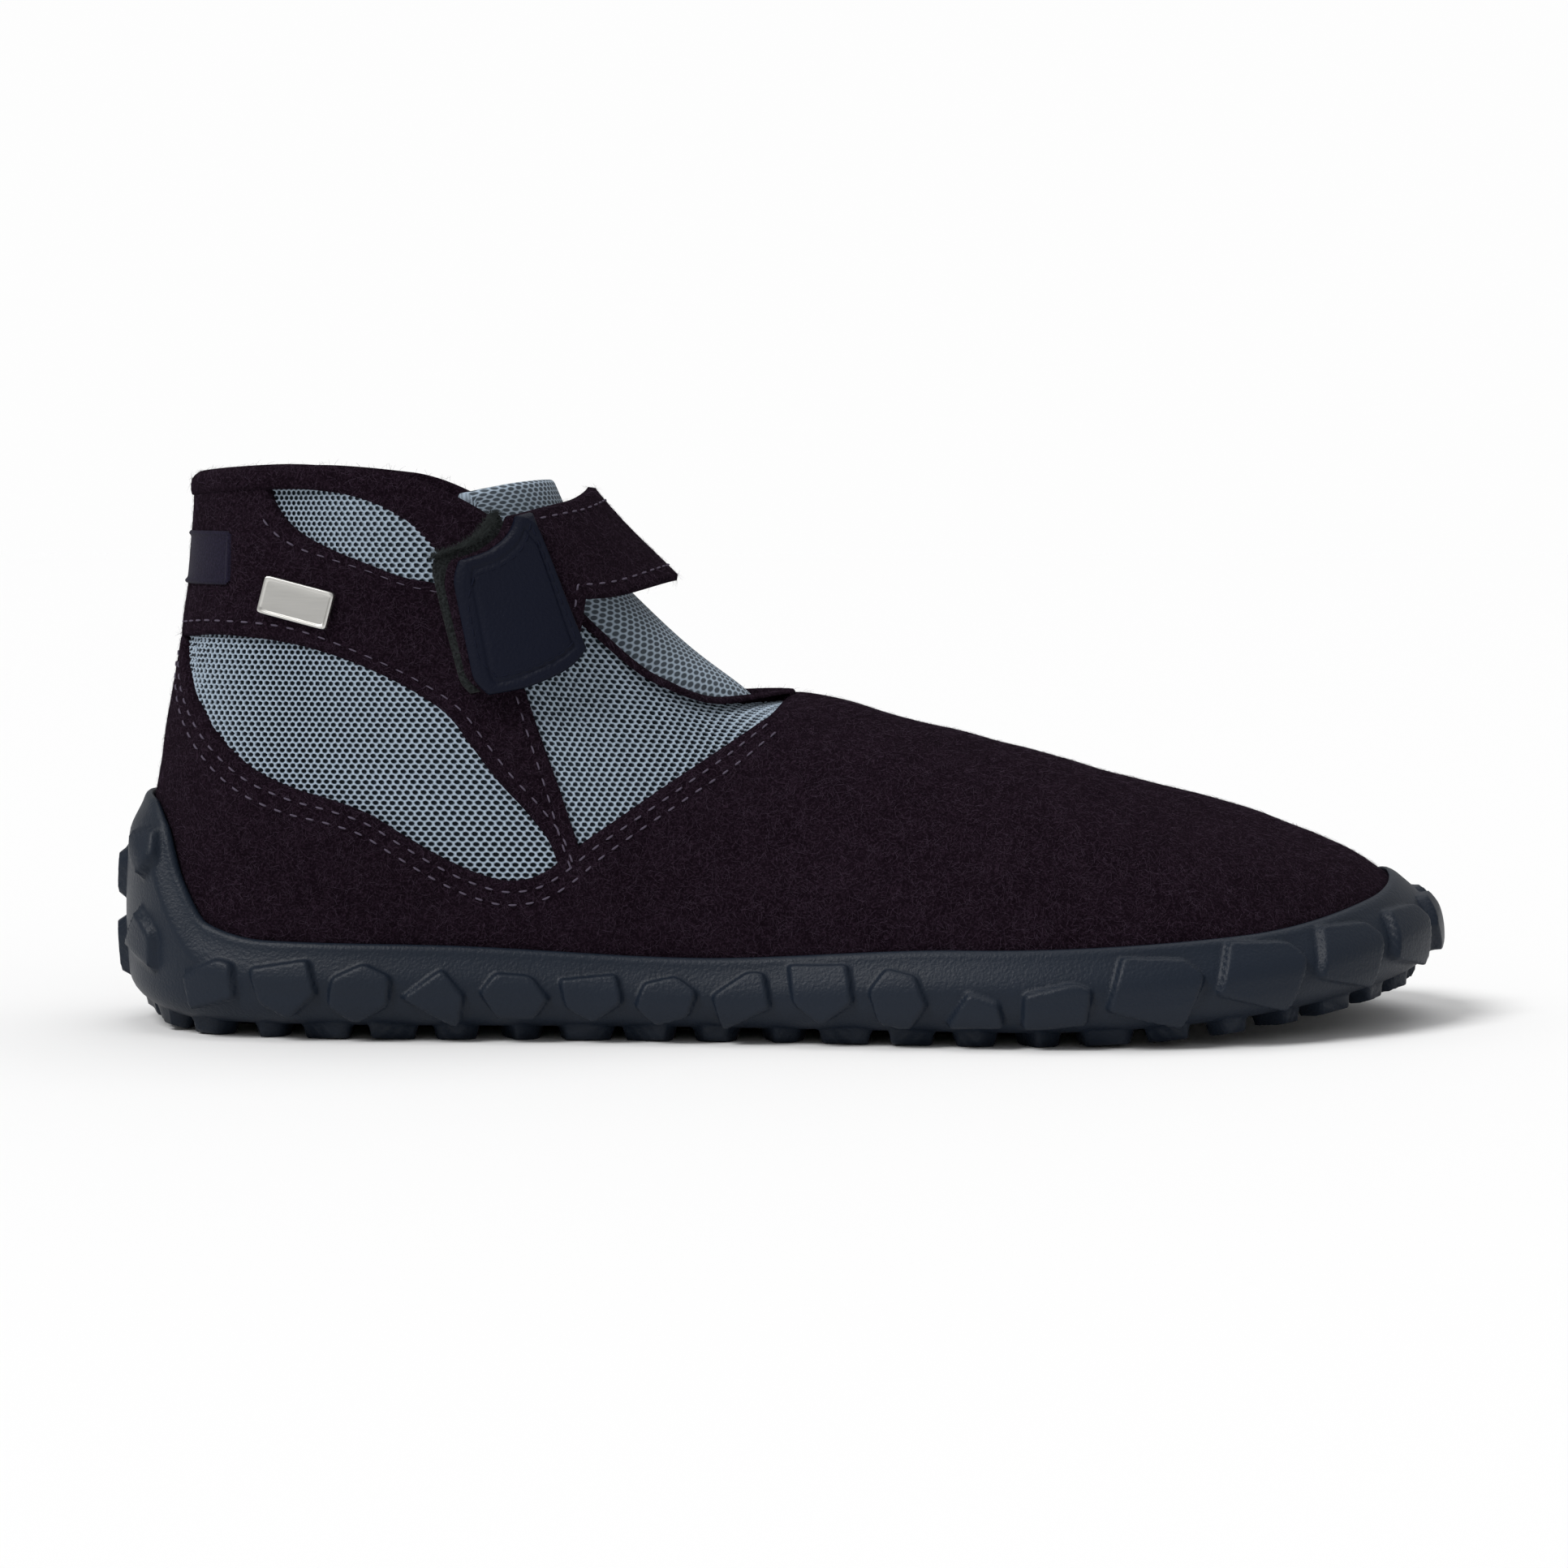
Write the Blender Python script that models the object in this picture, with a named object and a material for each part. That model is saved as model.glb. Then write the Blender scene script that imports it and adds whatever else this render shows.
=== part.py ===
"""Child's wool barefoot sneaker for the right foot, standing empty on its sole.

Row frame: +X runs from heel to toe, +Y to the inner side of the foot, +Z up, in metres. The origin
lies on the floor, under the middle of the shoe. The shoe is first worked out in the last's frame,
with x = 0 at the back of the rubber and y = 0 on the heel's middle line, and moved at the end.

Every curved piece comes from one surface, that of the upper. A place on it has three coordinates:
walk (0 at the back of the heel, 1 at the toe tip by the outer side, 2 at the heel again by the
inner side), rise (0 at the sole, 1 at the collar, throat edge or ridge) and lift off the surface.
"""

import math

import bpy
import numpy as np

# Driving sizes
SHOE_LENGTH = 0.190
BALL_WIDTH = 0.0775
COLLAR_HEIGHT = 0.0785
TOE_BOX_HEIGHT = 0.0305
INSTEP_HEIGHT = 0.0475
COLLAR_WIDTH = 0.046

# Walls and clearances
UPPER_WALL = 0.0028
WINDOW_DEPTH = 0.0011
GAP = 0.0003
HEEL_SEAM_STEP = 0.0009
HEEL_SEAM_REACH = 0.10

# Rubber sole
SOLE_FLOOR = 0.0050
LUG_DEPTH = 0.0020
SIDE_LUG_DEPTH = 0.0013
SIDE_RUBBER = 0.0030
LIP_RUBBER = 0.0013
LIP_TAPER = 0.0060
EDGE_RADIUS = 0.0045
SIDE_HEIGHT = 0.0135
HEEL_CUP_HEIGHT = 0.0335
TOE_BUMPER_HEIGHT = 0.0215
TOE_SPRING = 0.0065
HEEL_LIFT = 0.0030

# Insole, tongue, strap and trim
INSOLE_THICKNESS = 0.0025
TONGUE_CLEARANCE = 0.0015
TONGUE_THICKNESS = 0.0024
TONGUE_RISE = 0.0100
STRAP_CLEARANCE = 0.0008
STRAP_THICKNESS = 0.0014
HOOK_PAD_THICKNESS = 0.0013
STRAP_TIP_THICKNESS = 0.0014
PATCH_THICKNESS = 0.0008
PATCH_HEIGHT = 0.0078
PATCH_LENGTH = 0.0370
PATCH_DROP = 0.0113
PATCH_MIDDLE_HEIGHT = COLLAR_HEIGHT - PATCH_DROP
BADGE_LENGTH = 0.0104
BADGE_HEIGHT = 0.0054
BADGE_THICKNESS = 0.0009
BADGE_TILT_DEG = -14.0
BADGE_PLACE = (0.141, 0.777)

# Shares of SHOE_LENGTH
FLAT_FROM = 0.075
FLAT_TO = 0.66
SPINE_FROM = 0.11
SPINE_TO = 0.87

THROAT_WALK = 0.55
COLUMNS = 64
SIDE_INSET = SIDE_RUBBER + GAP

# Outline of the upper where it meets the sole, from the heel round by the outer side.
# Columns: share of the length, share of BALL_WIDTH.
OUTLINE = (
    (0.000, 0.000),
    (0.034, -0.228),
    (0.125, -0.335),
    (0.250, -0.362),
    (0.400, -0.382),
    (0.560, -0.438),
    (0.715, -0.486),
    (0.845, -0.430),
    (0.945, -0.240),
    (1.000, 0.085),
    (0.966, 0.318),
    (0.868, 0.455),
    (0.735, 0.496),
    (0.570, 0.452),
    (0.405, 0.374),
    (0.250, 0.352),
    (0.125, 0.325),
    (0.034, 0.222),
)

# Top edge of the upper: collar, throat edge, then the ridge over the toes.
# Columns: walk, share of SHOE_LENGTH, half gap as a share of COLLAR_WIDTH, height above the floor
# as a share of the size named, that size.
TOP_EDGE = (
    (0.000, 0.052, 0.000, 1.000, "collar"),
    (0.050, 0.060, 0.205, 1.002, "collar"),
    (0.105, 0.090, 0.370, 1.008, "collar"),
    (0.165, 0.135, 0.450, 1.012, "collar"),
    (0.265, 0.215, 0.495, 0.998, "collar"),
    (0.335, 0.292, 0.480, 0.915, "collar"),
    (0.400, 0.352, 0.445, 0.755, "collar"),
    (0.450, 0.405, 0.370, 1.065, "instep"),
    (0.500, 0.452, 0.255, 0.995, "instep"),
    (0.550, 0.505, 0.000, 1.000, "instep"),
    (0.620, 0.585, 0.000, 0.922, "instep"),
    (0.700, 0.665, 0.000, 0.840, "instep"),
    (0.800, 0.757, 0.000, 0.742, "instep"),
    (0.900, 0.826, 0.000, 1.050, "toe"),
    (1.000, 0.858, 0.000, 0.985, "toe"),
)

# Shape of each section from the sole to the top edge.
# Columns: walk, lower handle, upper handle, slope at the top in degrees, flare at the sole in degrees.
SECTION_SHAPE = (
    (0.000, 0.36, 0.36, 90.0, 6.0),
    (0.105, 0.34, 0.34, 90.0, 6.0),
    (0.265, 0.32, 0.34, 86.0, 5.0),
    (0.335, 0.32, 0.36, 78.0, 4.0),
    (0.400, 0.34, 0.40, 62.0, 3.0),
    (0.450, 0.38, 0.44, 44.0, 3.0),
    (0.500, 0.44, 0.48, 24.0, 3.0),
    (0.550, 0.50, 0.52, 0.0, 4.0),
    (0.700, 0.56, 0.56, 0.0, 6.0),
    (0.800, 0.57, 0.56, 7.0, 7.0),
    (0.900, 0.58, 0.56, 16.0, 8.0),
    (1.000, 0.58, 0.56, 26.0, 8.0),
)

# Middle line of the instep across the opening, from the collar's front to the throat.
# Columns: walk, share of SHOE_LENGTH, share of COLLAR_HEIGHT.
INSTEP_LINE = (
    (0.300, 0.325, 1.035),
    (0.335, 0.352, 0.945),
    (0.400, 0.402, 0.820),
    (0.450, 0.443, 0.728),
    (0.500, 0.478, 0.664),
    (0.550, 0.508, 0.607),
    (0.620, 0.586, 0.556),
)

# Top of the rubber. Columns: walk, how far it has risen from SIDE_HEIGHT to the heel cup's height
# and to the toe bumper's height.
RUBBER_TOP = (
    (0.000, 1.00, 0.00),
    (0.042, 0.97, 0.00),
    (0.068, 0.80, 0.00),
    (0.088, 0.42, 0.00),
    (0.110, 0.12, 0.00),
    (0.150, 0.02, 0.00),
    (0.260, 0.00, 0.00),
    (0.430, -0.08, 0.00),
    (0.600, 0.00, 0.00),
    (0.780, 0.00, 0.22),
    (0.900, 0.00, 0.66),
    (1.000, 0.00, 1.00),
)

# Mesh windows of one side, as seen from that side.
# Columns: share of SHOE_LENGTH from the heel, lower and upper edge as shares of COLLAR_HEIGHT.
LOWER_WINDOW = (
    (0.044, 0.702, 0.716),
    (0.050, 0.650, 0.718),
    (0.066, 0.565, 0.720),
    (0.092, 0.500, 0.720),
    (0.137, 0.447, 0.703),
    (0.190, 0.404, 0.666),
    (0.228, 0.357, 0.618),
    (0.262, 0.315, 0.560),
    (0.288, 0.290, 0.470),
    (0.310, 0.286, 0.415),
    (0.325, 0.310, 0.360),
)
UPPER_WINDOW = (
    (0.120, 0.955, 0.972),
    (0.130, 0.920, 0.973),
    (0.150, 0.890, 0.972),
    (0.182, 0.862, 0.966),
    (0.212, 0.840, 0.940),
    (0.240, 0.822, 0.895),
    (0.256, 0.822, 0.850),
)
# Gusset between the quarter's front edge and the vamp: its upper edge is that of the upper itself.
# Columns: share of SHOE_LENGTH from the heel, lower edge as a share of COLLAR_HEIGHT.
GUSSET = (
    (0.318, 0.520),
    (0.330, 0.425),
    (0.340, 0.350),
    (0.350, 0.335),
    (0.375, 0.375),
    (0.420, 0.450),
    (0.460, 0.515),
    (0.490, 0.565),
)

# Strap from its tip on the outer side over the tongue to its seam on the inner side.
# "across" is -1 and 1 at the throat's edges; past them, a unit is the whole height of the wall.
# Columns: rear edge walk, rear edge across, front edge walk, front edge across.
STRAP = (
    (0.281, -1.15, 0.295, -1.39),
    (0.308, -1.09, 0.330, -1.33),
    (0.326, -0.98, 0.368, -1.20),
    (0.330, -0.60, 0.400, -0.80),
    (0.326, 0.00, 0.412, 0.00),
    (0.330, 0.60, 0.400, 0.75),
    (0.326, 0.98, 0.372, 1.15),
    (0.308, 1.10, 0.345, 1.30),
    (0.290, 1.18, 0.312, 1.42),
)
STRAP_TIP_SHARE = 0.27
HOOK_PAD_SHARES = (0.012, 0.24)

# Outlines of the lugs, anticlockwise, in a box from -1 to 1 along the sole and up its side.
LUG_SHAPES = {
    "slab": ((-1.0, -0.75), (0.72, -1.0), (1.0, 0.55), (0.55, 1.0), (-0.8, 0.85)),
    "shield": ((-0.75, -0.35), (0.05, -1.0), (0.95, -0.3), (0.8, 0.95), (-0.9, 0.9)),
    "pebble": ((-0.45, -1.0), (0.6, -0.9), (1.0, 0.1), (0.4, 1.0), (-0.6, 0.95), (-1.0, 0.0)),
    "wedge": ((-1.0, -0.8), (0.9, -1.0), (0.75, 0.4), (-0.15, 1.0)),
}

# Lugs on the outer side. Columns: shape, walk, height up the rubber, half length, half height
# (all in metres), turn in degrees. The height is measured along the rubber from the tread's edge.
SIDE_LUGS = (
    ("shield", 0.060, 0.0250, 0.0032, 0.0036, 12.0),
    ("wedge", 0.062, 0.0135, 0.0046, 0.0040, -8.0),
    ("slab", 0.118, 0.0082, 0.0042, 0.0032, 20.0),
    ("shield", 0.165, 0.0078, 0.0050, 0.0040, 8.0),
    ("pebble", 0.213, 0.0076, 0.0050, 0.0036, 22.0),
    ("wedge", 0.262, 0.0076, 0.0050, 0.0034, -22.0),
    ("pebble", 0.311, 0.0072, 0.0052, 0.0031, -6.0),
    ("shield", 0.360, 0.0070, 0.0050, 0.0032, 4.0),
    ("pebble", 0.409, 0.0068, 0.0048, 0.0030, 10.0),
    ("slab", 0.458, 0.0070, 0.0046, 0.0030, 28.0),
    ("shield", 0.508, 0.0080, 0.0052, 0.0042, 0.0),
    ("pebble", 0.558, 0.0074, 0.0044, 0.0038, -14.0),
    ("wedge", 0.606, 0.0062, 0.0046, 0.0026, 4.0),
    ("slab", 0.656, 0.0066, 0.0052, 0.0030, 8.0),
    ("slab", 0.716, 0.0082, 0.0064, 0.0046, -10.0),
    ("slab", 0.784, 0.0088, 0.0066, 0.0046, -12.0),
    ("slab", 0.852, 0.0090, 0.0064, 0.0044, -10.0),
    ("slab", 0.918, 0.0090, 0.0058, 0.0042, -8.0),
    ("pebble", 0.974, 0.0090, 0.0046, 0.0040, 0.0),
)
EDGE_LUG_COUNT = 24
EDGE_LUG_HEIGHT = -0.0012
EDGE_LUG_HALF_LENGTH = 0.0038
EDGE_LUG_HALF_HEIGHT = 0.0030
LUG_ROOT = 0.0009
TREAD_ROW_PITCH = 0.0125
TREAD_LUG_HALF_LENGTH = 0.0047
TREAD_LUG_HALF_WIDTH = 0.0049
TREAD_COLUMN_PITCH = 0.0128
TREAD_MARGIN = 0.0120
HEEL_BACK_LUGS = ((0.0100, 0.0042), (0.0205, 0.0036))

# Tongue: walks of its ends, how far past the collar it goes, and its half width in metres by the
# share of the way up it.
TONGUE_FROM = 0.60
TONGUE_TO = 0.345
TONGUE_PAST = 0.3
TONGUE_LEAN = np.array((-0.40, 0.0, 0.92))
TONGUE_HALF_WIDTH = ((0.0, 0.2, 0.4, 0.6, 1.0, 1.3), (0.010, 0.015, 0.020, 0.024, 0.0245, 0.0225))
WALL_WAY = 0.062

EDGE_ARC = EDGE_RADIUS * math.pi / 2
UP = np.array((0.0, 0.0, 1.0))


def smooth_table(rows, column, at):
    """Value of a table's column at a place in its first column, by a curve that never overshoots."""
    knots = np.array([row[0] for row in rows], float)
    values = np.array([row[column] for row in rows], float)
    return monotone_curve(knots, values, at)


def monotone_curve(knots, values, at):
    """Cubic through the values, flat at both ends and at every turning point."""
    step = np.diff(knots)
    secant = np.diff(values) / step
    slope = np.zeros(len(knots))
    same_way = secant[:-1] * secant[1:] > 0
    left, right = 2 * step[1:] + step[:-1], step[1:] + 2 * step[:-1]
    with np.errstate(divide="ignore", invalid="ignore"):
        mean = (left + right) / (left / secant[:-1] + right / secant[1:])
    slope[1:-1] = np.where(same_way, mean, 0.0)
    at = np.clip(np.asarray(at, float), knots[0], knots[-1])
    i = np.clip(np.searchsorted(knots, at, side="right") - 1, 0, len(step) - 1)
    t = (at - knots[i]) / step[i]
    h00, h10 = (1 + 2 * t) * (1 - t) ** 2, t * (1 - t) ** 2
    h01, h11 = t * t * (3 - 2 * t), t * t * (t - 1)
    return h00 * values[i] + h10 * step[i] * slope[i] + h01 * values[i + 1] + h11 * step[i] * slope[i + 1]


def closed_spline(points, count):
    """Count points on the smooth closed curve through the points, with continuous curvature."""
    points = np.asarray(points, float)
    n = len(points)
    chord = np.linalg.norm(np.roll(points, -1, axis=0) - points, axis=1)
    before = np.roll(chord, 1)
    system = np.zeros((n, n))
    for i in range(n):
        system[i, i - 1] += before[i]
        system[i, i] += 2 * (before[i] + chord[i])
        system[i, (i + 1) % n] += chord[i]
    ahead = (np.roll(points, -1, axis=0) - points) / chord[:, None]
    bend = np.linalg.solve(system, 6 * (ahead - np.roll(ahead, 1, axis=0)))
    knots = np.concatenate([[0.0], np.cumsum(chord)])
    at = np.linspace(0.0, knots[-1], count, endpoint=False)
    i = np.clip(np.searchsorted(knots, at, side="right") - 1, 0, n - 1)
    j = (i + 1) % n
    h = chord[i][:, None]
    b = ((at - knots[i]) / chord[i])[:, None]
    a = 1 - b
    curve = a * points[i] + b * points[j]
    return curve + ((a**3 - a) * bend[i] + (b**3 - b) * bend[j]) * h * h / 6


def outline_tables():
    """Walk, place and outward normal of many points round the upper's foot outline, in plan."""
    length = SHOE_LENGTH - 2 * SIDE_INSET
    width = BALL_WIDTH - 2 * SIDE_INSET
    knots = [(SIDE_INSET + x * length, y * width) for x, y in OUTLINE]
    loop = closed_spline(knots, 1800)
    step = np.linalg.norm(np.roll(loop, -1, axis=0) - loop, axis=1)
    along = np.concatenate([[0.0], np.cumsum(step)])
    toe = int(np.argmax(loop[:, 0]))
    outer = along[: toe + 1] / along[toe]
    inner = 1 + (along[toe + 1 :] - along[toe]) / (along[-1] - along[toe])
    tangent = np.roll(loop, -1, axis=0) - np.roll(loop, 1, axis=0)
    normal = np.stack([-tangent[:, 1], tangent[:, 0]], axis=1)
    normal /= -np.linalg.norm(normal, axis=1)[:, None]
    closed = [np.concatenate([a, a[:1]]) for a in (loop, normal)]
    return np.concatenate([outer, inner]), *closed


WALKS, PLAN, PLAN_NORMAL = outline_tables()


def half_way_round():
    """Length of the outline from heel to toe by the outer side and by the inner side."""
    step = np.linalg.norm(np.diff(PLAN, axis=0), axis=1)
    toe = int(np.argmax(PLAN[:, 0]))
    return step[:toe].sum(), step[toe:].sum()


WAY_ROUND = half_way_round()


def share_and_side(walk):
    """How far from heel to toe a walk has come, and its side: -1 outer, 1 inner."""
    walk = np.mod(np.asarray(walk, float), 2.0)
    return np.where(walk <= 1, walk, 2 - walk), np.where(walk <= 1, -1.0, 1.0)


def plan_point(walk):
    walk = np.mod(np.asarray(walk, float), 2.0)
    return np.stack([np.interp(walk, WALKS, PLAN[:, k]) for k in (0, 1)], axis=-1)


def plan_normal(walk):
    walk = np.mod(np.asarray(walk, float), 2.0)
    normal = np.stack([np.interp(walk, WALKS, PLAN_NORMAL[:, k]) for k in (0, 1)], axis=-1)
    return normal / np.linalg.norm(normal, axis=-1)[..., None]


def spring(x):
    """Height of the tread above the floor: toe spring in front, a small lift behind."""
    x = np.asarray(x, float) / SHOE_LENGTH
    toe = np.clip((x - FLAT_TO) / (1 - FLAT_TO), 0, None)
    heel = np.clip((FLAT_FROM - x) / FLAT_FROM, 0, None)
    return TOE_SPRING * toe**2 + HEEL_LIFT * heel**2


def with_height(plan, height):
    return np.concatenate([plan, np.asarray(height, float)[..., None]], axis=-1)


def top_edge(walk):
    """Point of the collar, throat edge or ridge at a walk."""
    share, side = share_and_side(walk)
    size = {"collar": COLLAR_HEIGHT, "instep": INSTEP_HEIGHT, "toe": TOE_BOX_HEIGHT}
    rows = [(w, x, gap, height * size[name]) for w, x, gap, height, name in TOP_EDGE]
    gap = np.where(share < THROAT_WALK, smooth_gap(rows, share), 0.0) * COLLAR_WIDTH
    x = smooth_table(rows, 1, share) * SHOE_LENGTH
    y = ridge_line(share) + side * gap
    return np.stack([x, y, smooth_table(rows, 3, share)], axis=-1)


def smooth_gap(rows, share):
    """Half gap between the edges: its square runs smoothly, so that both ends of the opening are round."""
    knots = np.array([row[0] for row in rows], float)
    squares = np.array([row[2] for row in rows], float) ** 2
    return np.sqrt(np.clip(np.interp(share, *dense(knots, squares)), 0, None))


def dense(knots, values):
    at = np.linspace(knots[0], knots[-1], 400)
    return at, monotone_curve(knots, values, at)


def ridge_line(share):
    """Sideways place of the ridge: it bends to the inner side towards the big toe."""
    return BALL_WIDTH * 0.075 * np.clip((share - 0.45) / 0.55, 0, 1) ** 1.5


def section(walk, lift):
    """The four control points of the upper's section at a walk, moved off the surface by lift."""
    share, _ = share_and_side(walk)
    lower, upper, slope, flare = (smooth_table(SECTION_SHAPE, k, share) for k in (1, 2, 3, 4))
    slope, flare = np.radians(slope)[..., None], np.radians(flare)[..., None]
    plan = plan_point(walk)
    foot = with_height(plan, spring(plan[..., 0]) + SOLE_FLOOR + GAP)
    out = with_height(plan_normal(walk), np.zeros(np.shape(share)))
    top = top_edge(walk)
    across = foot - top
    across[..., 2] = 0
    facing = np.where((across * out).sum(axis=-1) < 0, -1.0, 1.0)[..., None]
    reach = facing * np.linalg.norm(across, axis=-1)[..., None]
    across = across / reach
    rise = (top - foot)[..., 2:3]
    side_normal = np.cos(flare) * out - np.sin(flare) * UP
    run, climb = reach * np.cos(slope), rise * np.sin(slope)
    top_normal = (run * UP + climb * across) / np.hypot(run, climb)
    first = foot + lower[..., None] * rise * (np.cos(flare) * UP + np.sin(flare) * out)
    second = top + upper[..., None] * (run * across - climb * UP)
    lift = np.asarray(lift, float)[..., None]
    on_side = (foot + lift * side_normal, first + lift * side_normal)
    on_top = (second + lift * top_normal, top + lift * top_normal)
    return on_side + on_top


def upper_point(walk, rise, lift=0.0):
    """Point of the upper's outer surface, moved off it by lift (negative is inwards)."""
    walk, rise, lift = np.broadcast_arrays(*(np.asarray(a, float) for a in (walk, rise, lift)))
    a, b, c, d = section(walk, lift)
    t = rise[..., None]
    return (1 - t) ** 3 * a + 3 * (1 - t) ** 2 * t * b + 3 * (1 - t) * t * t * c + t**3 * d


def rise_at_height(walk, height, lift=0.0):
    """Rise at which the surface reaches a height above the floor, found by halving."""
    walk, height, lift = np.broadcast_arrays(*(np.asarray(a, float) for a in (walk, height, lift)))
    low, high = np.zeros(walk.shape), np.ones(walk.shape)
    for _ in range(26):
        middle = (low + high) / 2
        below = upper_point(walk, middle, lift)[..., 2] < height
        low, high = np.where(below, middle, low), np.where(below, high, middle)
    return (low + high) / 2


def side_place(x, height, side):
    """Walk and rise of the surface's point that shows at a length and height from one side.

    Newton steps, from the nearest point of a coarse net over that side of the surface.
    """
    x, height = np.broadcast_arrays(np.asarray(x, float), np.asarray(height, float))
    net_share, net_rise = np.meshgrid(np.linspace(0.02, 0.98, 97), np.linspace(0.05, 1.0, 39))
    net_share, net_rise = net_share.ravel(), net_rise.ravel()
    net = upper_point(net_share if side < 0 else 2 - net_share, net_rise)
    nearest = np.hypot(net[:, 0] - x[..., None], net[:, 2] - height[..., None]).argmin(axis=-1)
    share, rise = net_share[nearest], net_rise[nearest]
    step = 1e-4
    for _ in range(12):
        walk = share if side < 0 else 2 - share
        ahead = share + step if side < 0 else 2 - share - step
        here = upper_point(walk, rise)
        by_share = (upper_point(ahead, rise) - here) / step
        by_rise = (upper_point(walk, rise + step) - here) / step
        off_x, off_z = x - here[..., 0], height - here[..., 2]
        area = by_share[..., 0] * by_rise[..., 2] - by_share[..., 2] * by_rise[..., 0]
        share = share + np.clip((off_x * by_rise[..., 2] - off_z * by_rise[..., 0]) / area, -0.05, 0.05)
        rise = rise + np.clip((off_z * by_share[..., 0] - off_x * by_share[..., 2]) / area, -0.15, 0.15)
        share = np.clip(share, 0.01, 0.99)
    return (share if side < 0 else 2 - share), rise


def opening_point(walk, across, lift=0.0):
    """Point of the surface that spans the opening; past its edges, of the upper itself."""
    walk, across, lift = np.broadcast_arrays(*(np.asarray(a, float) for a in (walk, across, lift)))
    share, _ = share_and_side(walk)
    over = np.clip(np.abs(across) - 1, 0, 1)
    side_walk = np.where(across <= 0, share, 2 - share)
    edge = upper_point(side_walk, 1 - over, lift)
    inside = np.clip(np.abs(across), 0, 1)
    middle = np.stack(
        [
            smooth_table(INSTEP_LINE, 1, share) * SHOE_LENGTH,
            ridge_line(share),
            smooth_table(INSTEP_LINE, 2, share) * COLLAR_HEIGHT,
        ],
        axis=-1,
    )
    ahead = opening_forward(share)
    middle = middle + lift[..., None] * ahead
    bulge = (1 - inside**2.3)[..., None]
    spanned = edge + (middle - edge) * bulge
    spanned[..., 1] = middle[..., 1] + (edge - middle)[..., 1] * inside
    return np.where((inside < 1)[..., None], spanned, edge)


def opening_forward(share):
    """Direction square to the instep line, forwards and up."""
    step = 0.01
    share = np.clip(share, INSTEP_LINE[0][0] + step, INSTEP_LINE[-1][0] - step)
    ends = []
    for at in (share - step, share + step):
        x = smooth_table(INSTEP_LINE, 1, at) * SHOE_LENGTH
        z = smooth_table(INSTEP_LINE, 2, at) * COLLAR_HEIGHT
        ends.append(np.stack([x, np.zeros(np.shape(x)), z], axis=-1))
    along = ends[1] - ends[0]
    along = along / np.linalg.norm(along, axis=-1)[..., None]
    return np.stack([-along[..., 2], np.zeros(np.shape(share)), along[..., 0]], axis=-1)


def rubber_top(walk):
    """Height of the rubber's top edge above the floor."""
    share, _ = share_and_side(walk)
    cup = smooth_table(RUBBER_TOP, 1, share) * (HEEL_CUP_HEIGHT - SIDE_HEIGHT)
    bumper = smooth_table(RUBBER_TOP, 2, share) * (TOE_BUMPER_HEIGHT - SIDE_HEIGHT)
    return SIDE_HEIGHT + cup + bumper


def rubber_point(walk, up_side):
    """Point of the rubber's outer face. up_side is the way along it from the tread's edge, up the
    rounded edge and the side; where it is negative, the way in under the shoe."""
    walk, up_side = np.broadcast_arrays(np.asarray(walk, float), np.asarray(up_side, float))
    ground = spring(plan_point(walk)[..., 0]) + LUG_DEPTH
    shoulder = ground + EDGE_RADIUS
    height = shoulder + np.clip(up_side - EDGE_ARC, 0, None)
    taper = np.clip((rubber_top(walk) - height) / LIP_TAPER, 0, 1)
    thick = GAP + LIP_RUBBER + (SIDE_RUBBER - LIP_RUBBER) * taper * taper * (3 - 2 * taper)
    point = upper_point(walk, rise_at_height(walk, height, thick), thick)
    out = plan_normal(walk)
    angle = np.clip((EDGE_ARC - up_side) / EDGE_RADIUS, 0, math.pi / 2)
    inward = EDGE_RADIUS * (1 - np.cos(angle)) + np.clip(-up_side, 0, None)
    plan = point[..., :2] - out * inward[..., None]
    side_height = np.where(up_side < EDGE_ARC, shoulder - EDGE_RADIUS * np.sin(angle), point[..., 2])
    under = spring(plan[..., 0]) + LUG_DEPTH
    return with_height(plan, np.where(up_side < 0, under, side_height))


def rubber_normal(walk, up_side):
    """Outward normal of the rubber's outer face."""
    d_walk, d_up = 1e-3, 2e-4
    along = rubber_point(walk + d_walk, up_side) - rubber_point(walk - d_walk, up_side)
    upward = rubber_point(walk, up_side + d_up) - rubber_point(walk, up_side - d_up)
    normal = np.cross(along, upward)
    return normal / np.linalg.norm(normal, axis=-1)[..., None]


def spine_point(walk, height_above_tread):
    """Point on the middle line of the sole that a section runs in to."""
    share, _ = share_and_side(walk)
    ease = share * share * (3 - 2 * share) * 0.25 + share * 0.75
    x = SHOE_LENGTH * (SPINE_FROM + (SPINE_TO - SPINE_FROM) * ease)
    y = ridge_line(share)
    return np.stack([x, y, spring(x) + height_above_tread], axis=-1)


# Meshes


def new_object(name, points, faces, material, smooth_angle=40.0):
    """A mesh object from points and faces, which become triangles, as a Boolean needs flat faces."""
    mesh = bpy.data.meshes.new(name)
    fans = [(face[0], face[k], face[k + 1]) for face in faces for k in range(1, len(face) - 1)]
    mesh.from_pydata([tuple(p) for p in points], [], [tuple(int(i) for i in fan) for fan in fans])
    mesh.validate()
    mesh.update()
    mesh.materials.append(material)
    mesh.shade_smooth()
    mesh.set_sharp_from_angle(angle=math.radians(smooth_angle))
    obj = bpy.data.objects.new(name, mesh)
    bpy.context.scene.collection.objects.link(obj)
    return obj


def as_helper(obj):
    """Marks an object as a cutter or guide, which isn't part of the shoe."""
    obj.hide_render = True
    obj.display_type = "WIRE"
    return obj


def add_boolean(obj, other, operation):
    modifier = obj.modifiers.new(f"{operation.lower()}_{other.name}", "BOOLEAN")
    modifier.operation = operation
    modifier.object = other
    modifier.solver = "EXACT"


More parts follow.
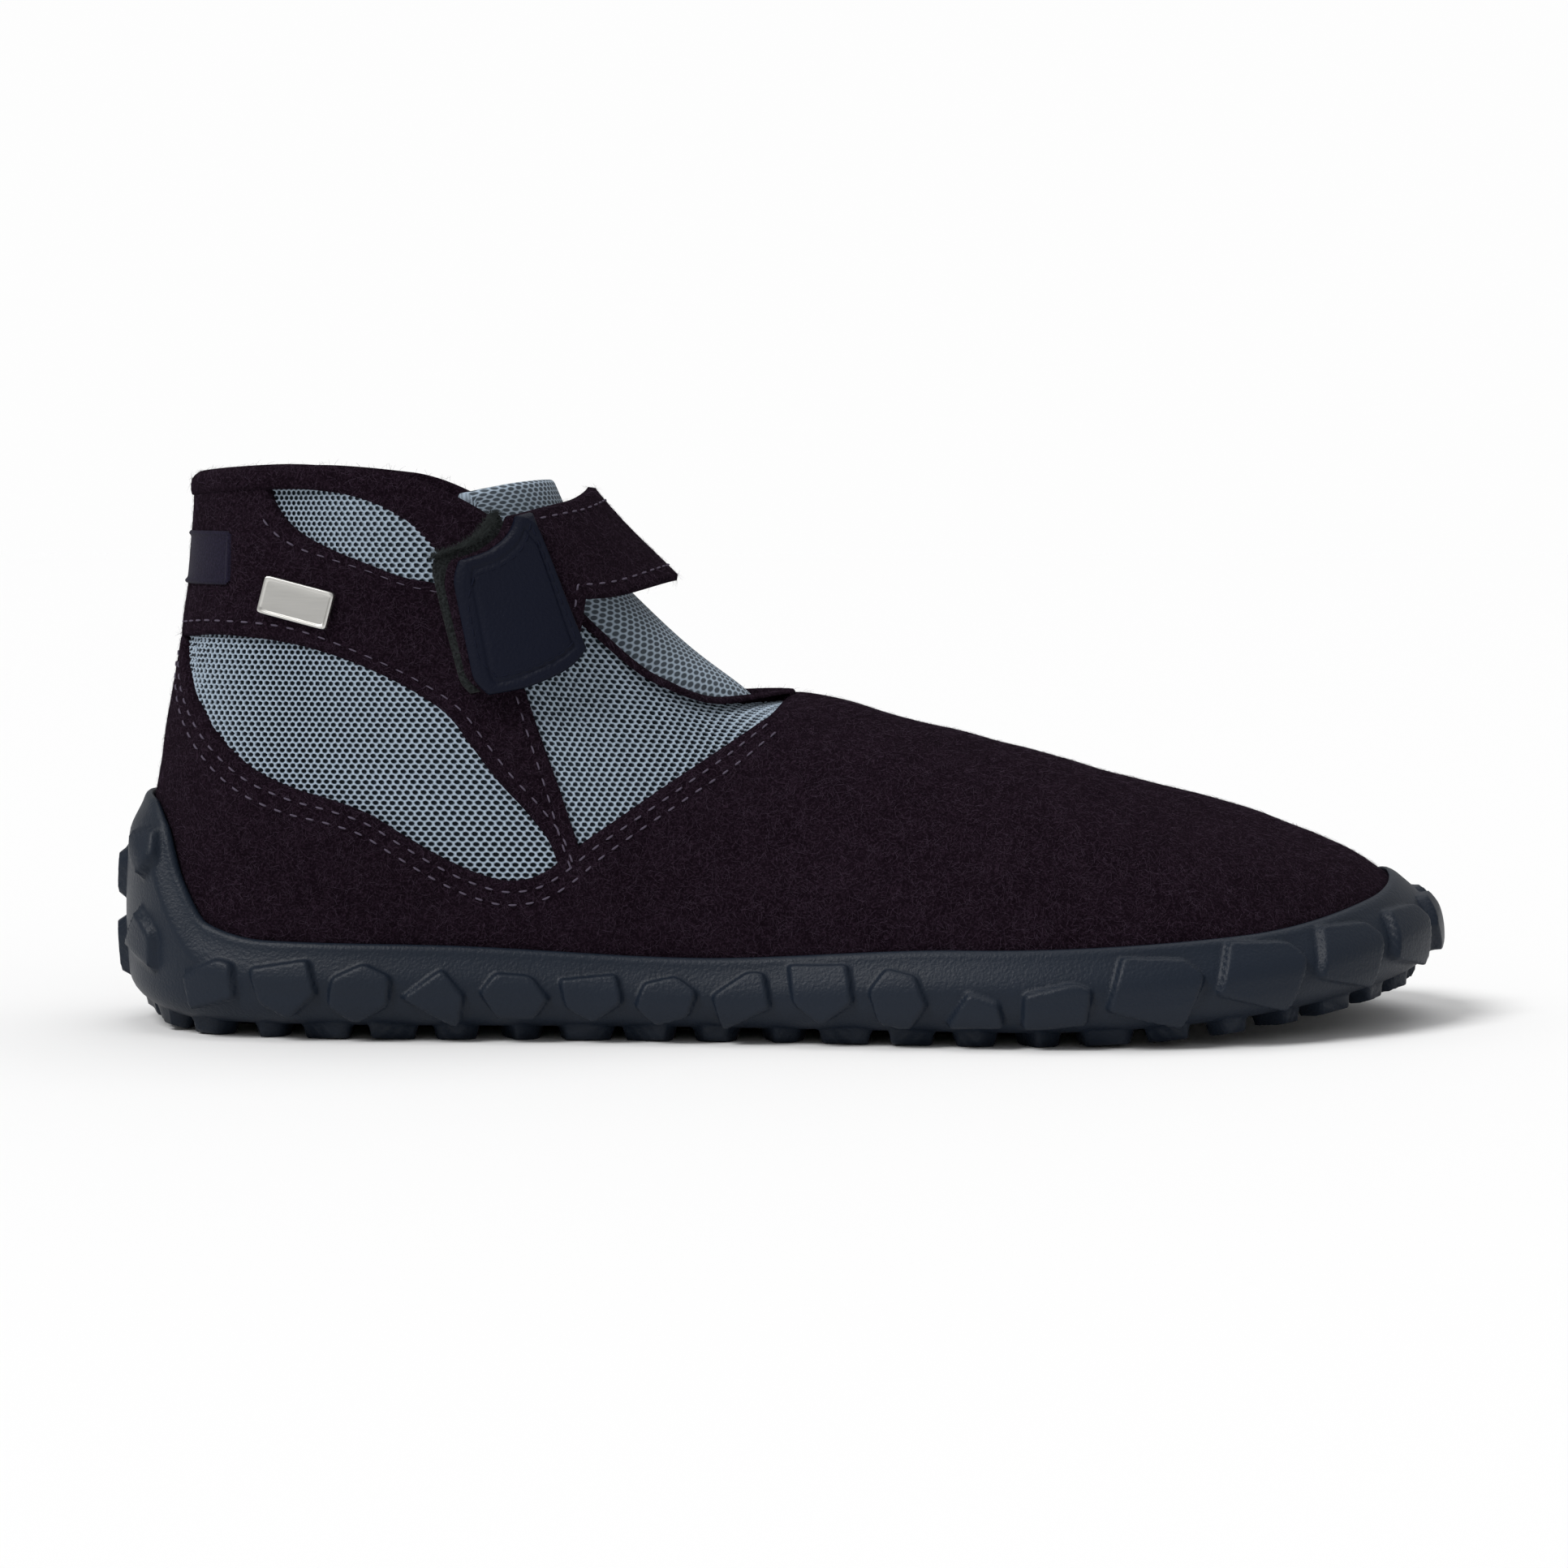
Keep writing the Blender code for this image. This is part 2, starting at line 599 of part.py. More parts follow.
def slab(name, surface, first, second, low, high, material):
    """Closed slab over a patch of a surface: surface(a, b, lift) with lift low below and high above."""
    a, b = np.meshgrid(first, second, indexing="ij")
    rows, columns = a.shape
    below = surface(a, b, low).reshape(-1, 3)
    above = surface(a, b, high).reshape(-1, 3)
    index = np.arange(rows * columns).reshape(rows, columns)
    quads = np.stack([index[:-1, :-1], index[1:, :-1], index[1:, 1:], index[:-1, 1:]], axis=-1)
    quads = quads.reshape(-1, 4)
    rim = np.concatenate([index[:, 0], index[-1, 1:], index[-2::-1, -1], index[0, -2:0:-1]])
    following = np.roll(rim, -1)
    size = rows * columns
    sides = np.stack([rim, following, following + size, rim + size], axis=1)
    faces = np.concatenate([quads[:, ::-1], quads + size, sides])
    points = np.concatenate([below, above])
    if mesh_volume(points, faces) < 0:
        faces = faces[:, ::-1]
    return new_object(name, points, faces, material)


def mesh_volume(points, faces):
    """Six times the signed volume inside quads, to see which way they point."""
    a, b, c, d = (points[faces[:, k]] for k in range(4))
    return float((np.cross(a, b) * c).sum() + (np.cross(a, c) * d).sum())


def window_surface(table, side):
    """Surface of a window's patch: share along it, share up it, lift."""

    def surface(along, up, lift):
        start, end = table[0][0], table[-1][0]
        x = start + (end - start) * along
        low = smooth_table(table, 1, x)
        high = smooth_table(table, 2, x)
        height = (low + (high - low) * up) * COLLAR_HEIGHT
        return upper_point(*side_place(x * SHOE_LENGTH, height, side), lift)

    return surface


def gusset_surface(side):
    """Surface of the gusset: share along it, share from its lower edge to past the upper's edge."""

    def surface(along, up, lift):
        x = GUSSET[0][0] + (GUSSET[-1][0] - GUSSET[0][0]) * along
        walk, rise = side_place(x * SHOE_LENGTH, smooth_table(GUSSET, 1, x) * COLLAR_HEIGHT, side)
        return upper_point(walk, rise + (1.04 - rise) * up, lift)

    return surface


def strap_surface(along, over, lift):
    """Surface under the strap: share of the way from tip to seam, share from rear to front edge."""
    knots = np.linspace(0, 1, len(STRAP))
    columns = [smooth_column(knots, [row[k] for row in STRAP], along) for k in range(4)]
    walk = columns[0] + (columns[2] - columns[0]) * over
    across = columns[1] + (columns[3] - columns[1]) * over
    return opening_point(walk, across, lift)


def smooth_column(knots, values, at):
    """Smooth curve through one column of the strap's table."""
    return np.interp(at, *dense(knots, np.asarray(values, float)))


def wall_heights(walks):
    """Heights above the floor of the rows that the sole's inner wall and the upper share."""
    floor = spring(plan_point(walks)[..., 0]) + SOLE_FLOOR
    top = rubber_top(walks)
    return [floor + (top - floor) * share for share in (0.0, 0.42, 0.74, 1.0)]


def outer_rows(walks):
    """Rows of the upper's outer face: the sole's rows first, then evenly to the top edge."""
    heights = wall_heights(walks)
    rises = [np.zeros(len(walks))] + [rise_at_height(walks, height) for height in heights[1:]]
    share, _ = share_and_side(walks)
    seam = HEEL_SEAM_STEP * np.clip(1 - share / HEEL_SEAM_REACH, 0, 1) ** 0.5
    rows = [upper_point(walks, rise) for rise in rises]
    for part in (0.14, 0.30, 0.45, 0.60, 0.74, 0.88, 1.0):
        rise = rises[-1] + (1 - rises[-1]) * part
        rows.append(upper_point(walks, rise, seam * (0.2 < part < 0.55)))
    return rows


def build_upper(material):
    """Hollow upper: outer and inner surface, joined at the sole, at the collar and round the throat."""
    half = COLUMNS // 2
    throat = round(THROAT_WALK * half)
    walks = np.arange(COLUMNS) / half
    inner_rows = [upper_point(walks, rise, -UPPER_WALL) for rise in (0, 0.17, 0.35, 0.53, 0.70, 0.86, 1)]
    points, grids = [], []
    for rows in (outer_rows(walks), inner_rows):
        grid = np.zeros((len(rows), COLUMNS), int)
        for j, row in enumerate(rows):
            for i in range(COLUMNS):
                on_ridge = j == len(rows) - 1 and i > half and COLUMNS - i >= throat
                grid[j, i] = grid[j, COLUMNS - i] if on_ridge else len(points)
                if not on_ridge:
                    points.append(row[i])
        grids.append(grid)
    outer, inner = grids
    faces = ring_faces(outer) + [face[::-1] for face in ring_faces(inner)]
    for i in range(COLUMNS):
        k = (i + 1) % COLUMNS
        faces.append((outer[0, i], inner[0, i], inner[0, k], outer[0, k]))
        if i < throat or i >= COLUMNS - throat:
            faces.append((outer[-1, i], outer[-1, k], inner[-1, k], inner[-1, i]))
    return new_object("upper", points, outward(points, faces), material)


def ring_faces(grid):
    """Quads, or triangles where two corners coincide, over rows of a closed ring."""
    rows, columns = grid.shape
    faces = []
    for j in range(rows - 1):
        for i in range(columns):
            k = (i + 1) % columns
            corners = (grid[j, i], grid[j, k], grid[j + 1, k], grid[j + 1, i])
            faces.append(tuple(dict.fromkeys(corners)))
    return [face for face in faces if len(face) > 2]


def outward(points, faces):
    """The faces, turned round together if they point inwards."""
    points = np.asarray(points, float)
    total = 0.0
    for face in faces:
        for k in range(1, len(face) - 1):
            a, b, c = points[face[0]], points[face[k]], points[face[k + 1]]
            total += float(np.dot(np.cross(a, b), c))
    return faces if total > 0 else [tuple(face[::-1]) for face in faces]


def spine_ring(points, walk_count, heights):
    """Adds the sole's middle line and gives one index for each column, shared by both sides."""
    half = walk_count // 2
    walks = np.arange(walk_count) / half
    row = spine_point(walks, heights)
    ring = np.zeros(walk_count, int)
    for i in range(walk_count):
        if i <= half:
            ring[i] = len(points)
            points.append(row[i])
        else:
            ring[i] = ring[walk_count - i]
    return ring


def add_ring(points, row):
    start = len(points)
    points.extend(row)
    return np.arange(start, start + len(row))


def build_sole_base(material):
    """Cup of rubber without its lugs: a floor, a rounded edge and a side that follows the upper."""
    walks = np.arange(COLUMNS) / (COLUMNS // 2)
    top = rubber_top(walks)
    shoulder = spring(plan_point(walks)[..., 0]) + LUG_DEPTH + EDGE_RADIUS
    side_way = top - shoulder
    points, outer = [], []
    for share in (1.0, 0.78, 0.45):
        outer.append(add_ring(points, rubber_point(walks, EDGE_ARC + side_way * share)))
    for share in (1.0, 0.5, 0.0):
        outer.append(add_ring(points, rubber_point(walks, np.full(COLUMNS, EDGE_ARC * share))))
    edge = rubber_point(walks, np.zeros(COLUMNS))
    middle = edge + (spine_point(walks, LUG_DEPTH) - edge) * 0.45
    middle[:, 2] = spring(middle[:, 0]) + LUG_DEPTH
    outer.append(add_ring(points, middle))
    outer.append(spine_ring(points, COLUMNS, LUG_DEPTH))
    inner = []
    for height in reversed(wall_heights(walks)):
        ring = upper_point(walks, rise_at_height(walks, height, GAP), GAP)
        ring[:, 2] = height
        inner.append(add_ring(points, ring))
    wall = np.array([points[i] for i in inner[-1]])
    middle = wall + (spine_point(walks, SOLE_FLOOR) - wall) * 0.5
    middle[:, 2] = spring(middle[:, 0]) + SOLE_FLOOR
    inner.append(add_ring(points, middle))
    inner.append(spine_ring(points, COLUMNS, SOLE_FLOOR))
    faces = ring_faces(np.array([inner[0]] + outer))
    faces += [face[::-1] for face in ring_faces(np.array(inner))]
    return new_object("outsole", points, outward(points, faces), material, 35.0)


def lug_outline(name, half_length, half_height, turn_deg):
    """A lug's outline, in metres along and up the rubber."""
    corners = np.array(LUG_SHAPES[name], float) * (half_length, half_height)
    turn = math.radians(turn_deg)
    spin = np.array(((math.cos(turn), -math.sin(turn)), (math.sin(turn), math.cos(turn))))
    return corners @ spin.T


def side_lug_places():
    """Walk and way up the rubber of every side and edge lug's outline, its middle point last."""
    placed = []
    for side in (-1, 1):
        for shape, share, height, half_length, half_height, turn in SIDE_LUGS:
            outline = lug_outline(shape, half_length, half_height, turn * -side)
            placed.append((share if side < 0 else 2 - share, height, outline))
    for height, half_height in HEEL_BACK_LUGS:
        placed.append((0.0, height, lug_outline("slab", half_height, half_height, 0.0)))
    names = list(LUG_SHAPES)
    for side in (-1, 1):
        for i in range(EDGE_LUG_COUNT):
            share = (i + 0.5) / EDGE_LUG_COUNT
            turn = 14.0 * math.sin(2.4 * i + side)
            half_length = EDGE_LUG_HALF_LENGTH * (1 + 0.08 * math.sin(1.7 * i))
            outline = lug_outline(names[i % 4], half_length, EDGE_LUG_HALF_HEIGHT, turn)
            placed.append((share if side < 0 else 2 - share, EDGE_LUG_HEIGHT, outline))
    return placed


def side_lug_rings():
    """Root and crown ring of every lug on the rubber's side and edge."""
    walks, heights, counts = [], [], []
    for walk, height, outline in side_lug_places():
        way = WAY_ROUND[0] if walk <= 1 else WAY_ROUND[1]
        for shrink in (1.0, 0.92):
            ring = np.concatenate([outline * shrink, [[0.0, 0.0]]])
            walks.append(walk + ring[:, 0] / way)
            heights.append(height + ring[:, 1])
            counts.append(len(ring))
    walks, heights = np.concatenate(walks), np.concatenate(heights)
    crown = np.concatenate([np.full(n, i % 2) for i, n in enumerate(counts)])
    depth = SIDE_LUG_DEPTH + (LUG_DEPTH - SIDE_LUG_DEPTH) * np.clip(1 - heights / EDGE_ARC, 0, 1)
    offset = np.where(crown == 1, depth, -LUG_ROOT)
    points = rubber_point(walks, heights) + rubber_normal(walks, heights) * offset[:, None]
    points[:, 2] = np.maximum(points[:, 2], spring(points[:, 0]))
    return np.split(points, np.cumsum(counts)[:-1])


def tread_lug_rings():
    """Root and crown ring of every lug under the shoe, in rows with as many as there is room for."""
    names = list(LUG_SHAPES)
    rings = []
    rows = int((SHOE_LENGTH - 2 * TREAD_MARGIN) / TREAD_ROW_PITCH)
    first = (SHOE_LENGTH - (rows - 1) * TREAD_ROW_PITCH) / 2
    for i in range(rows):
        x = first + i * TREAD_ROW_PITCH
        low, high = width_at(x)
        room = high - low - 2 * TREAD_MARGIN
        columns = max(1, int(room / TREAD_COLUMN_PITCH) + 1)
        pitch = room / columns
        half_width = min(TREAD_LUG_HALF_WIDTH, 0.38 * pitch)
        for j in range(columns):
            turn = 180.0 * ((i + j) % 2) + 12.0 * math.sin(1.9 * i + 2.7 * j)
            outline = lug_outline(names[(i + 2 * j) % 4], TREAD_LUG_HALF_LENGTH, half_width, turn)
            middle = (x, low + TREAD_MARGIN + (j + 0.5) * pitch)
            for shrink, depth in ((1.0, LUG_ROOT), (0.92, -LUG_DEPTH)):
                ring = np.concatenate([outline * shrink, [[0.0, 0.0]]]) + middle
                rings.append(with_height(ring, spring(ring[:, 0]) + LUG_DEPTH + depth))
    return rings


def all_lugs():
    """Points and faces of every lug, each a closed body rooted in the rubber."""
    rings = side_lug_rings() + tread_lug_rings()
    points, faces = np.concatenate(rings), []
    start = 0
    for root_ring in rings[::2]:
        count = len(root_ring) - 1
        root, crown = start, start + count + 1
        start += 2 * (count + 1)
        made = []
        for i in range(count):
            k = (i + 1) % count
            made.append((root + count, root + k, root + i))
            made.append((crown + count, crown + i, crown + k))
            made.append((root + i, root + k, crown + k, crown + i))
        faces.extend(outward(points, made))
    return points, faces


def width_at(x):
    """Lowest and highest y of the tread's edge at a length."""
    walks = np.linspace(0, 2, 721)
    edge = rubber_point(walks, np.zeros(721))
    outer, inner = edge[:361], edge[361:]
    low = np.interp(x, outer[:, 0], outer[:, 1])
    high = np.interp(x, inner[::-1, 0], inner[::-1, 1])
    return low, high


def build_outsole(material):
    sole = build_sole_base(material)
    points, faces = all_lugs()
    lugs = as_helper(new_object("lugs", points, faces, material))
    add_boolean(sole, lugs, "UNION")
    return sole


def build_insole(material):
    """Flat insole that fills the upper's inside, on the sole's floor."""
    walks = np.arange(COLUMNS) / (COLUMNS // 2)
    points, grids = [], []
    low = SOLE_FLOOR + GAP
    for height in (low, low + INSOLE_THICKNESS):
        floor = spring(plan_point(walks)[..., 0]) + height
        inside = -(UPPER_WALL + GAP)
        ring = upper_point(walks, rise_at_height(walks, floor, inside), inside)
        ring[:, 2] = floor
        spine = spine_point(walks, height)
        middle = ring + (spine - ring) * 0.45
        middle[:, 2] = spring(middle[:, 0]) + height
        rows = [add_ring(points, ring), add_ring(points, middle), spine_ring(points, COLUMNS, height)]
        grids.append(np.array(rows))
    below, above = grids
    faces = ring_faces(above) + [face[::-1] for face in ring_faces(below)]
    faces += ring_faces(np.array([below[0], above[0]]))
    return new_object("insole", points, outward(points, faces), material)


def tongue_surface(along, across, lift):
    """Surface of the tongue: 0 under the vamp to 1 at the collar, then up past it; across -1 to 1."""
    under = -(UPPER_WALL + TONGUE_CLEARANCE) + lift
    share = TONGUE_FROM + (TONGUE_TO - TONGUE_FROM) * np.clip(along, 0, 1)
    half_gap = np.abs(top_edge(share)[..., 1] - ridge_line(share))
    reach = np.abs(across) * np.interp(along, *TONGUE_HALF_WIDTH)
    closed = half_gap < 1e-6
    inside = np.where(closed, 1.0, np.clip(reach / np.where(closed, 1.0, half_gap), 0, 1))
    over = np.clip(reach - half_gap, 0, None) / WALL_WAY
    point = opening_point(share, np.sign(across) * (inside + over), under)
    past = np.clip(along - 1, 0, 1)
    crown = 1 - 0.35 * np.abs(across) ** 3
    return point + (past * crown * TONGUE_RISE / TONGUE_PAST)[..., None] * TONGUE_LEAN


def build_tongue(material):
    """Tongue from under the vamp to above the collar."""
    along = np.concatenate([np.linspace(0, 1, 13), (1.15, 1.3)])
    across = np.linspace(-1, 1, 9)
    return slab("tongue", tongue_surface, along, across, -TONGUE_THICKNESS, 0.0, material)


def build_strap(materials):
    """Strap over the instep, the hook pad under its free end, and the moulded tip on that end."""
    pad_low, pad_high = STRAP_CLEARANCE, STRAP_CLEARANCE + HOOK_PAD_THICKNESS
    strap_low = pad_high + GAP
    strap_high = strap_low + STRAP_THICKNESS
    tip_low = strap_high + GAP
    over = np.linspace(0, 1, 5)

    def settled(along, over_share, lift):
        """The strap comes down onto the upper past the hook pad and at its far end."""
        drop = (HOOK_PAD_THICKNESS + GAP) * np.clip((along - STRAP_TIP_SHARE) / 0.12, 0, 1)
        return strap_surface(along, over_share, lift - drop)

    slab("strap", settled, np.linspace(0.004, 1, 25), over, strap_low, strap_high, materials["felt_strap"])
    pad = np.linspace(*HOOK_PAD_SHARES, 6)
    slab("hook_pad", strap_surface, pad, np.linspace(0.04, 0.96, 5), pad_low, pad_high, materials["hook"])
    tip = np.linspace(0.0, STRAP_TIP_SHARE, 7)
    slab("strap_tip", strap_surface, tip, over, tip_low, tip_low + STRAP_TIP_THICKNESS, materials["tip"])


def patch_surface(along, up, lift):
    """Surface of the heel patch: share along it from the inner to the outer side, share up it."""
    per_metre = 1 / WAY_ROUND[0]
    walk = np.mod(2 + (along - 0.5) * PATCH_LENGTH * per_metre * 1.28, 2.0)
    height = PATCH_MIDDLE_HEIGHT + (up - 0.5) * PATCH_HEIGHT
    return upper_point(walk, rise_at_height(walk, height), lift)


def build_patch(material):
    """Patch on the back of the heel, let into the felt."""
    along, up = np.linspace(0, 1, 13), np.linspace(0, 1, 3)
    return slab("heel_patch", patch_surface, along, up, -PATCH_THICKNESS, 0.0, material)


def places_along(table):
    """Shares along a window of the rows in its table."""
    return np.array([(row[0] - table[0][0]) / (table[-1][0] - table[0][0]) for row in table])


def cut_windows(upper, material):
    """Recesses that leave the felt standing as a frame round the mesh, and the patch's pocket."""
    for side, name in ((-1, "outer"), (1, "inner")):
        recesses = (
            ("lower_window", window_surface(LOWER_WINDOW, side), LOWER_WINDOW, 3),
            ("upper_window", window_surface(UPPER_WINDOW, side), UPPER_WINDOW, 3),
            ("gusset", gusset_surface(side), GUSSET, 3),
        )
        for place, surface, table, rows in recesses:
            up = np.linspace(0, 1, rows)
            cutter = slab(f"{place}_{name}", surface, places_along(table), up, -WINDOW_DEPTH, 0.003, material)
            add_boolean(upper, as_helper(cutter), "DIFFERENCE")
    along_margin, up_margin = GAP / PATCH_LENGTH, GAP / PATCH_HEIGHT
    along = np.linspace(-along_margin, 1 + along_margin, 13)
    up = np.linspace(-up_margin, 1 + up_margin, 3)
    pocket = slab("patch_pocket", patch_surface, along, up, -PATCH_THICKNESS - GAP, 0.003, material)
    add_boolean(upper, as_helper(pocket), "DIFFERENCE")


def build_badge(material):
    """Small metal plate that lies on the band, on the outer side."""
    height = BADGE_PLACE[1] * COLLAR_HEIGHT
    walk, rise = side_place(BADGE_PLACE[0] * SHOE_LENGTH, height, -1)
    point = upper_point(walk, rise)
    ahead = upper_point(walk + 0.01, rise_at_height(walk + 0.01, height)) - point
    above = upper_point(walk, rise + 0.02) - point
    out = np.cross(ahead, above)
    out /= np.linalg.norm(out)
    ahead /= np.linalg.norm(ahead)
    level = np.cross(out, ahead)
    tilt = math.radians(BADGE_TILT_DEG)
    long_way = math.cos(tilt) * ahead + math.sin(tilt) * level
    high_way = np.cross(out, long_way)
    half = np.array((BADGE_LENGTH, BADGE_HEIGHT)) / 2
    middle = point + out * (GAP + BADGE_THICKNESS / 2)
    corner = 0.0006
    outline = [
        (half[0] - corner, -half[1]),
        (half[0], -half[1] + corner),
        (half[0], half[1] - corner),
        (half[0] - corner, half[1]),
        (-half[0] + corner, half[1]),
        (-half[0], half[1] - corner),
        (-half[0], -half[1] + corner),
        (-half[0] + corner, -half[1]),
    ]
    points = []
    for sign in (-1, 1):
        for a, b in outline:
            points.append(middle + a * long_way + b * high_way + sign * BADGE_THICKNESS / 2 * out)
    count = len(outline)
    faces = [tuple(range(count))[::-1], tuple(range(count, 2 * count))]
    for i in range(count):
        k = (i + 1) % count
        faces.append((i, k, count + k, count + i))
    return new_object("badge", points, outward(points, faces), material)



def surface_material(name, colour, roughness, metallic=0.0):
    material = bpy.data.materials.new(name)
    material.use_nodes = True
    shader = material.node_tree.nodes["Principled BSDF"]
    shader.inputs["Base Color"].default_value = (*colour, 1.0)
    shader.inputs["Roughness"].default_value = roughness
    shader.inputs["Metallic"].default_value = metallic
    return material


def stand_on_origin():
    """Moves every object so that the origin lies on the floor under the middle of the shoe's box."""
    shown = [o for o in bpy.context.scene.objects if o.type == "MESH" and not o.hide_render]
    bpy.context.view_layer.update()
    graph = bpy.context.evaluated_depsgraph_get()
    corners = np.array([c for o in shown for c in o.evaluated_get(graph).bound_box])
    middle = (corners.min(axis=0) + corners.max(axis=0)) / 2
    for obj in bpy.context.scene.objects:
        if obj.type == "MESH":
            obj.location = (-middle[0], -middle[1], -corners[:, 2].min())


def main():
    for obj in list(bpy.data.objects):
        bpy.data.objects.remove(obj)
    felt = surface_material("wool_felt", (0.020, 0.012, 0.017), 0.95)
    rubber = surface_material("navy_rubber", (0.028, 0.038, 0.056), 0.62)
    knit = surface_material("grey_knit", (0.27, 0.36, 0.42), 0.85)
    lining = surface_material("dark_lining", (0.03, 0.03, 0.035), 0.9)
    steel = surface_material("nickel", (0.62, 0.60, 0.56), 0.35, 1.0)
    strap_materials = {
        "felt_strap": surface_material("strap_felt", (0.020, 0.012, 0.017), 0.95),
        "hook": surface_material("hook_pile", (0.05, 0.05, 0.055), 0.95),
        "tip": surface_material("tip_rubber", (0.020, 0.026, 0.045), 0.5),
    }
    build_outsole(rubber)
    upper = build_upper(felt)
    cut_windows(upper, felt)
    build_insole(lining)
    build_tongue(knit)
    build_strap(strap_materials)
    build_patch(rubber)
    build_badge(steel)
    stand_on_origin()


main()
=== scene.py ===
"""Scene of a child's wool barefoot sneaker for the right foot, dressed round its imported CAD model.

The felt, mesh, rubber and trim are surfaces worked out with numpy from the same last as the solids.
A place on the upper has three coordinates: walk (0 at the back of the heel, 1 at the toe tip by the
outer side, 2 at the heel again by the inner side), rise (0 at the sole, 1 at the top edge) and lift
off the surface. The last's own frame has x = 0 at the back of the rubber and y = 0 on the heel's
middle line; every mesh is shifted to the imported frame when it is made.
"""

from __future__ import annotations

import logging
import math
from dataclasses import dataclass, field
from enum import Enum
from typing import Sequence

import bmesh
import bpy
import numpy as np
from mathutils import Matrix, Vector

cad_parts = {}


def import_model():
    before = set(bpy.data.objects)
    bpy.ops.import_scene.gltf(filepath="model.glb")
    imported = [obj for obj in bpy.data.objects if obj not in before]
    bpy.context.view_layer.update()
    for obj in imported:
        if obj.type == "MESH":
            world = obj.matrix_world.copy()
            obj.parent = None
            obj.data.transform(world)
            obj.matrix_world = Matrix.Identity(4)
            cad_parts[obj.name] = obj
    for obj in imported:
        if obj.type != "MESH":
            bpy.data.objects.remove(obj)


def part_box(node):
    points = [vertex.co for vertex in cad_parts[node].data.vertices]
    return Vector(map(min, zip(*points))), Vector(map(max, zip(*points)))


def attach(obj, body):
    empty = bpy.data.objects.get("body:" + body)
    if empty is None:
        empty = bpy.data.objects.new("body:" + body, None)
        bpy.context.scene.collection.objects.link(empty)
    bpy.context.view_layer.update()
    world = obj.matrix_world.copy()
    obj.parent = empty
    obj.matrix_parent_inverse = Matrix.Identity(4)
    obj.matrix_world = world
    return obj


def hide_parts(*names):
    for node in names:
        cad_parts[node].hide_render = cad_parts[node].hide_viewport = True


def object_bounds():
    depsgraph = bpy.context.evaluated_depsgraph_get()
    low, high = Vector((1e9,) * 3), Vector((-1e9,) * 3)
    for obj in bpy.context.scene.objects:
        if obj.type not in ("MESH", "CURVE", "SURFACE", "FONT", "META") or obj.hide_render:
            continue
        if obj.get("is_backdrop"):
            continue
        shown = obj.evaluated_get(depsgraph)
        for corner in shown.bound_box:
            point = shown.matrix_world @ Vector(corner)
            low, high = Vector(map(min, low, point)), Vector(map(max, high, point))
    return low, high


LOG = logging.getLogger("sneaker")
Array = np.ndarray
Colour = tuple[float, float, float]
Socket = bpy.types.NodeSocket
Material = bpy.types.Material
Piece = bpy.types.Object

MILLIMETRE = 0.001
MERGE_DISTANCE = 2e-6
# Way up the rubber that stands for rows which no side lug is on.
OFF_SIDE = 1.0


class Side(Enum):
    """Side of the foot, by the sign of its y."""

    OUTER = -1
    INNER = 1


# Outline of the upper where it meets the sole. Columns: share of the length, of the ball's width.
OUTLINE = (
    (0.000, 0.000),
    (0.034, -0.228),
    (0.125, -0.335),
    (0.250, -0.362),
    (0.400, -0.382),
    (0.560, -0.438),
    (0.715, -0.486),
    (0.845, -0.430),
    (0.945, -0.240),
    (1.000, 0.085),
    (0.966, 0.318),
    (0.868, 0.455),
    (0.735, 0.496),
    (0.570, 0.452),
    (0.405, 0.374),
    (0.250, 0.352),
    (0.125, 0.325),
    (0.034, 0.222),
)

# Top edge of the upper. Columns: walk, share of the length, half gap as a share of the collar's
# width, height as a share of the size named, that size.
TOP_EDGE = (
    (0.000, 0.052, 0.000, 1.000, "collar"),
    (0.050, 0.060, 0.205, 1.002, "collar"),
    (0.105, 0.090, 0.370, 1.008, "collar"),
    (0.165, 0.135, 0.450, 1.012, "collar"),
    (0.265, 0.215, 0.495, 0.998, "collar"),
    (0.335, 0.292, 0.480, 0.915, "collar"),
    (0.400, 0.352, 0.445, 0.755, "collar"),
    (0.450, 0.405, 0.370, 1.065, "instep"),
    (0.500, 0.452, 0.255, 0.995, "instep"),
    (0.550, 0.505, 0.000, 1.000, "instep"),
    (0.620, 0.585, 0.000, 0.922, "instep"),
    (0.700, 0.665, 0.000, 0.840, "instep"),
    (0.800, 0.757, 0.000, 0.742, "instep"),
    (0.900, 0.826, 0.000, 1.050, "toe"),
    (1.000, 0.858, 0.000, 0.985, "toe"),
)

# Shape of each section. Columns: walk, lower handle, upper handle, slope at the top and flare at
# the sole in degrees.
SECTION_SHAPE = (
    (0.000, 0.36, 0.36, 90.0, 6.0),
    (0.105, 0.34, 0.34, 90.0, 6.0),
    (0.265, 0.32, 0.34, 86.0, 5.0),
    (0.335, 0.32, 0.36, 78.0, 4.0),
    (0.400, 0.34, 0.40, 62.0, 3.0),
    (0.450, 0.38, 0.44, 44.0, 3.0),
    (0.500, 0.44, 0.48, 24.0, 3.0),
    (0.550, 0.50, 0.52, 0.0, 4.0),
    (0.700, 0.56, 0.56, 0.0, 6.0),
    (0.800, 0.57, 0.56, 7.0, 7.0),
    (0.900, 0.58, 0.56, 16.0, 8.0),
    (1.000, 0.58, 0.56, 26.0, 8.0),
)

# Middle line of the instep across the opening. Columns: walk, share of the length, of the collar.
INSTEP_LINE = (
    (0.300, 0.325, 1.035),
    (0.335, 0.352, 0.945),
    (0.400, 0.402, 0.820),
    (0.450, 0.443, 0.728),
    (0.500, 0.478, 0.664),
    (0.550, 0.508, 0.607),
    (0.620, 0.586, 0.556),
)

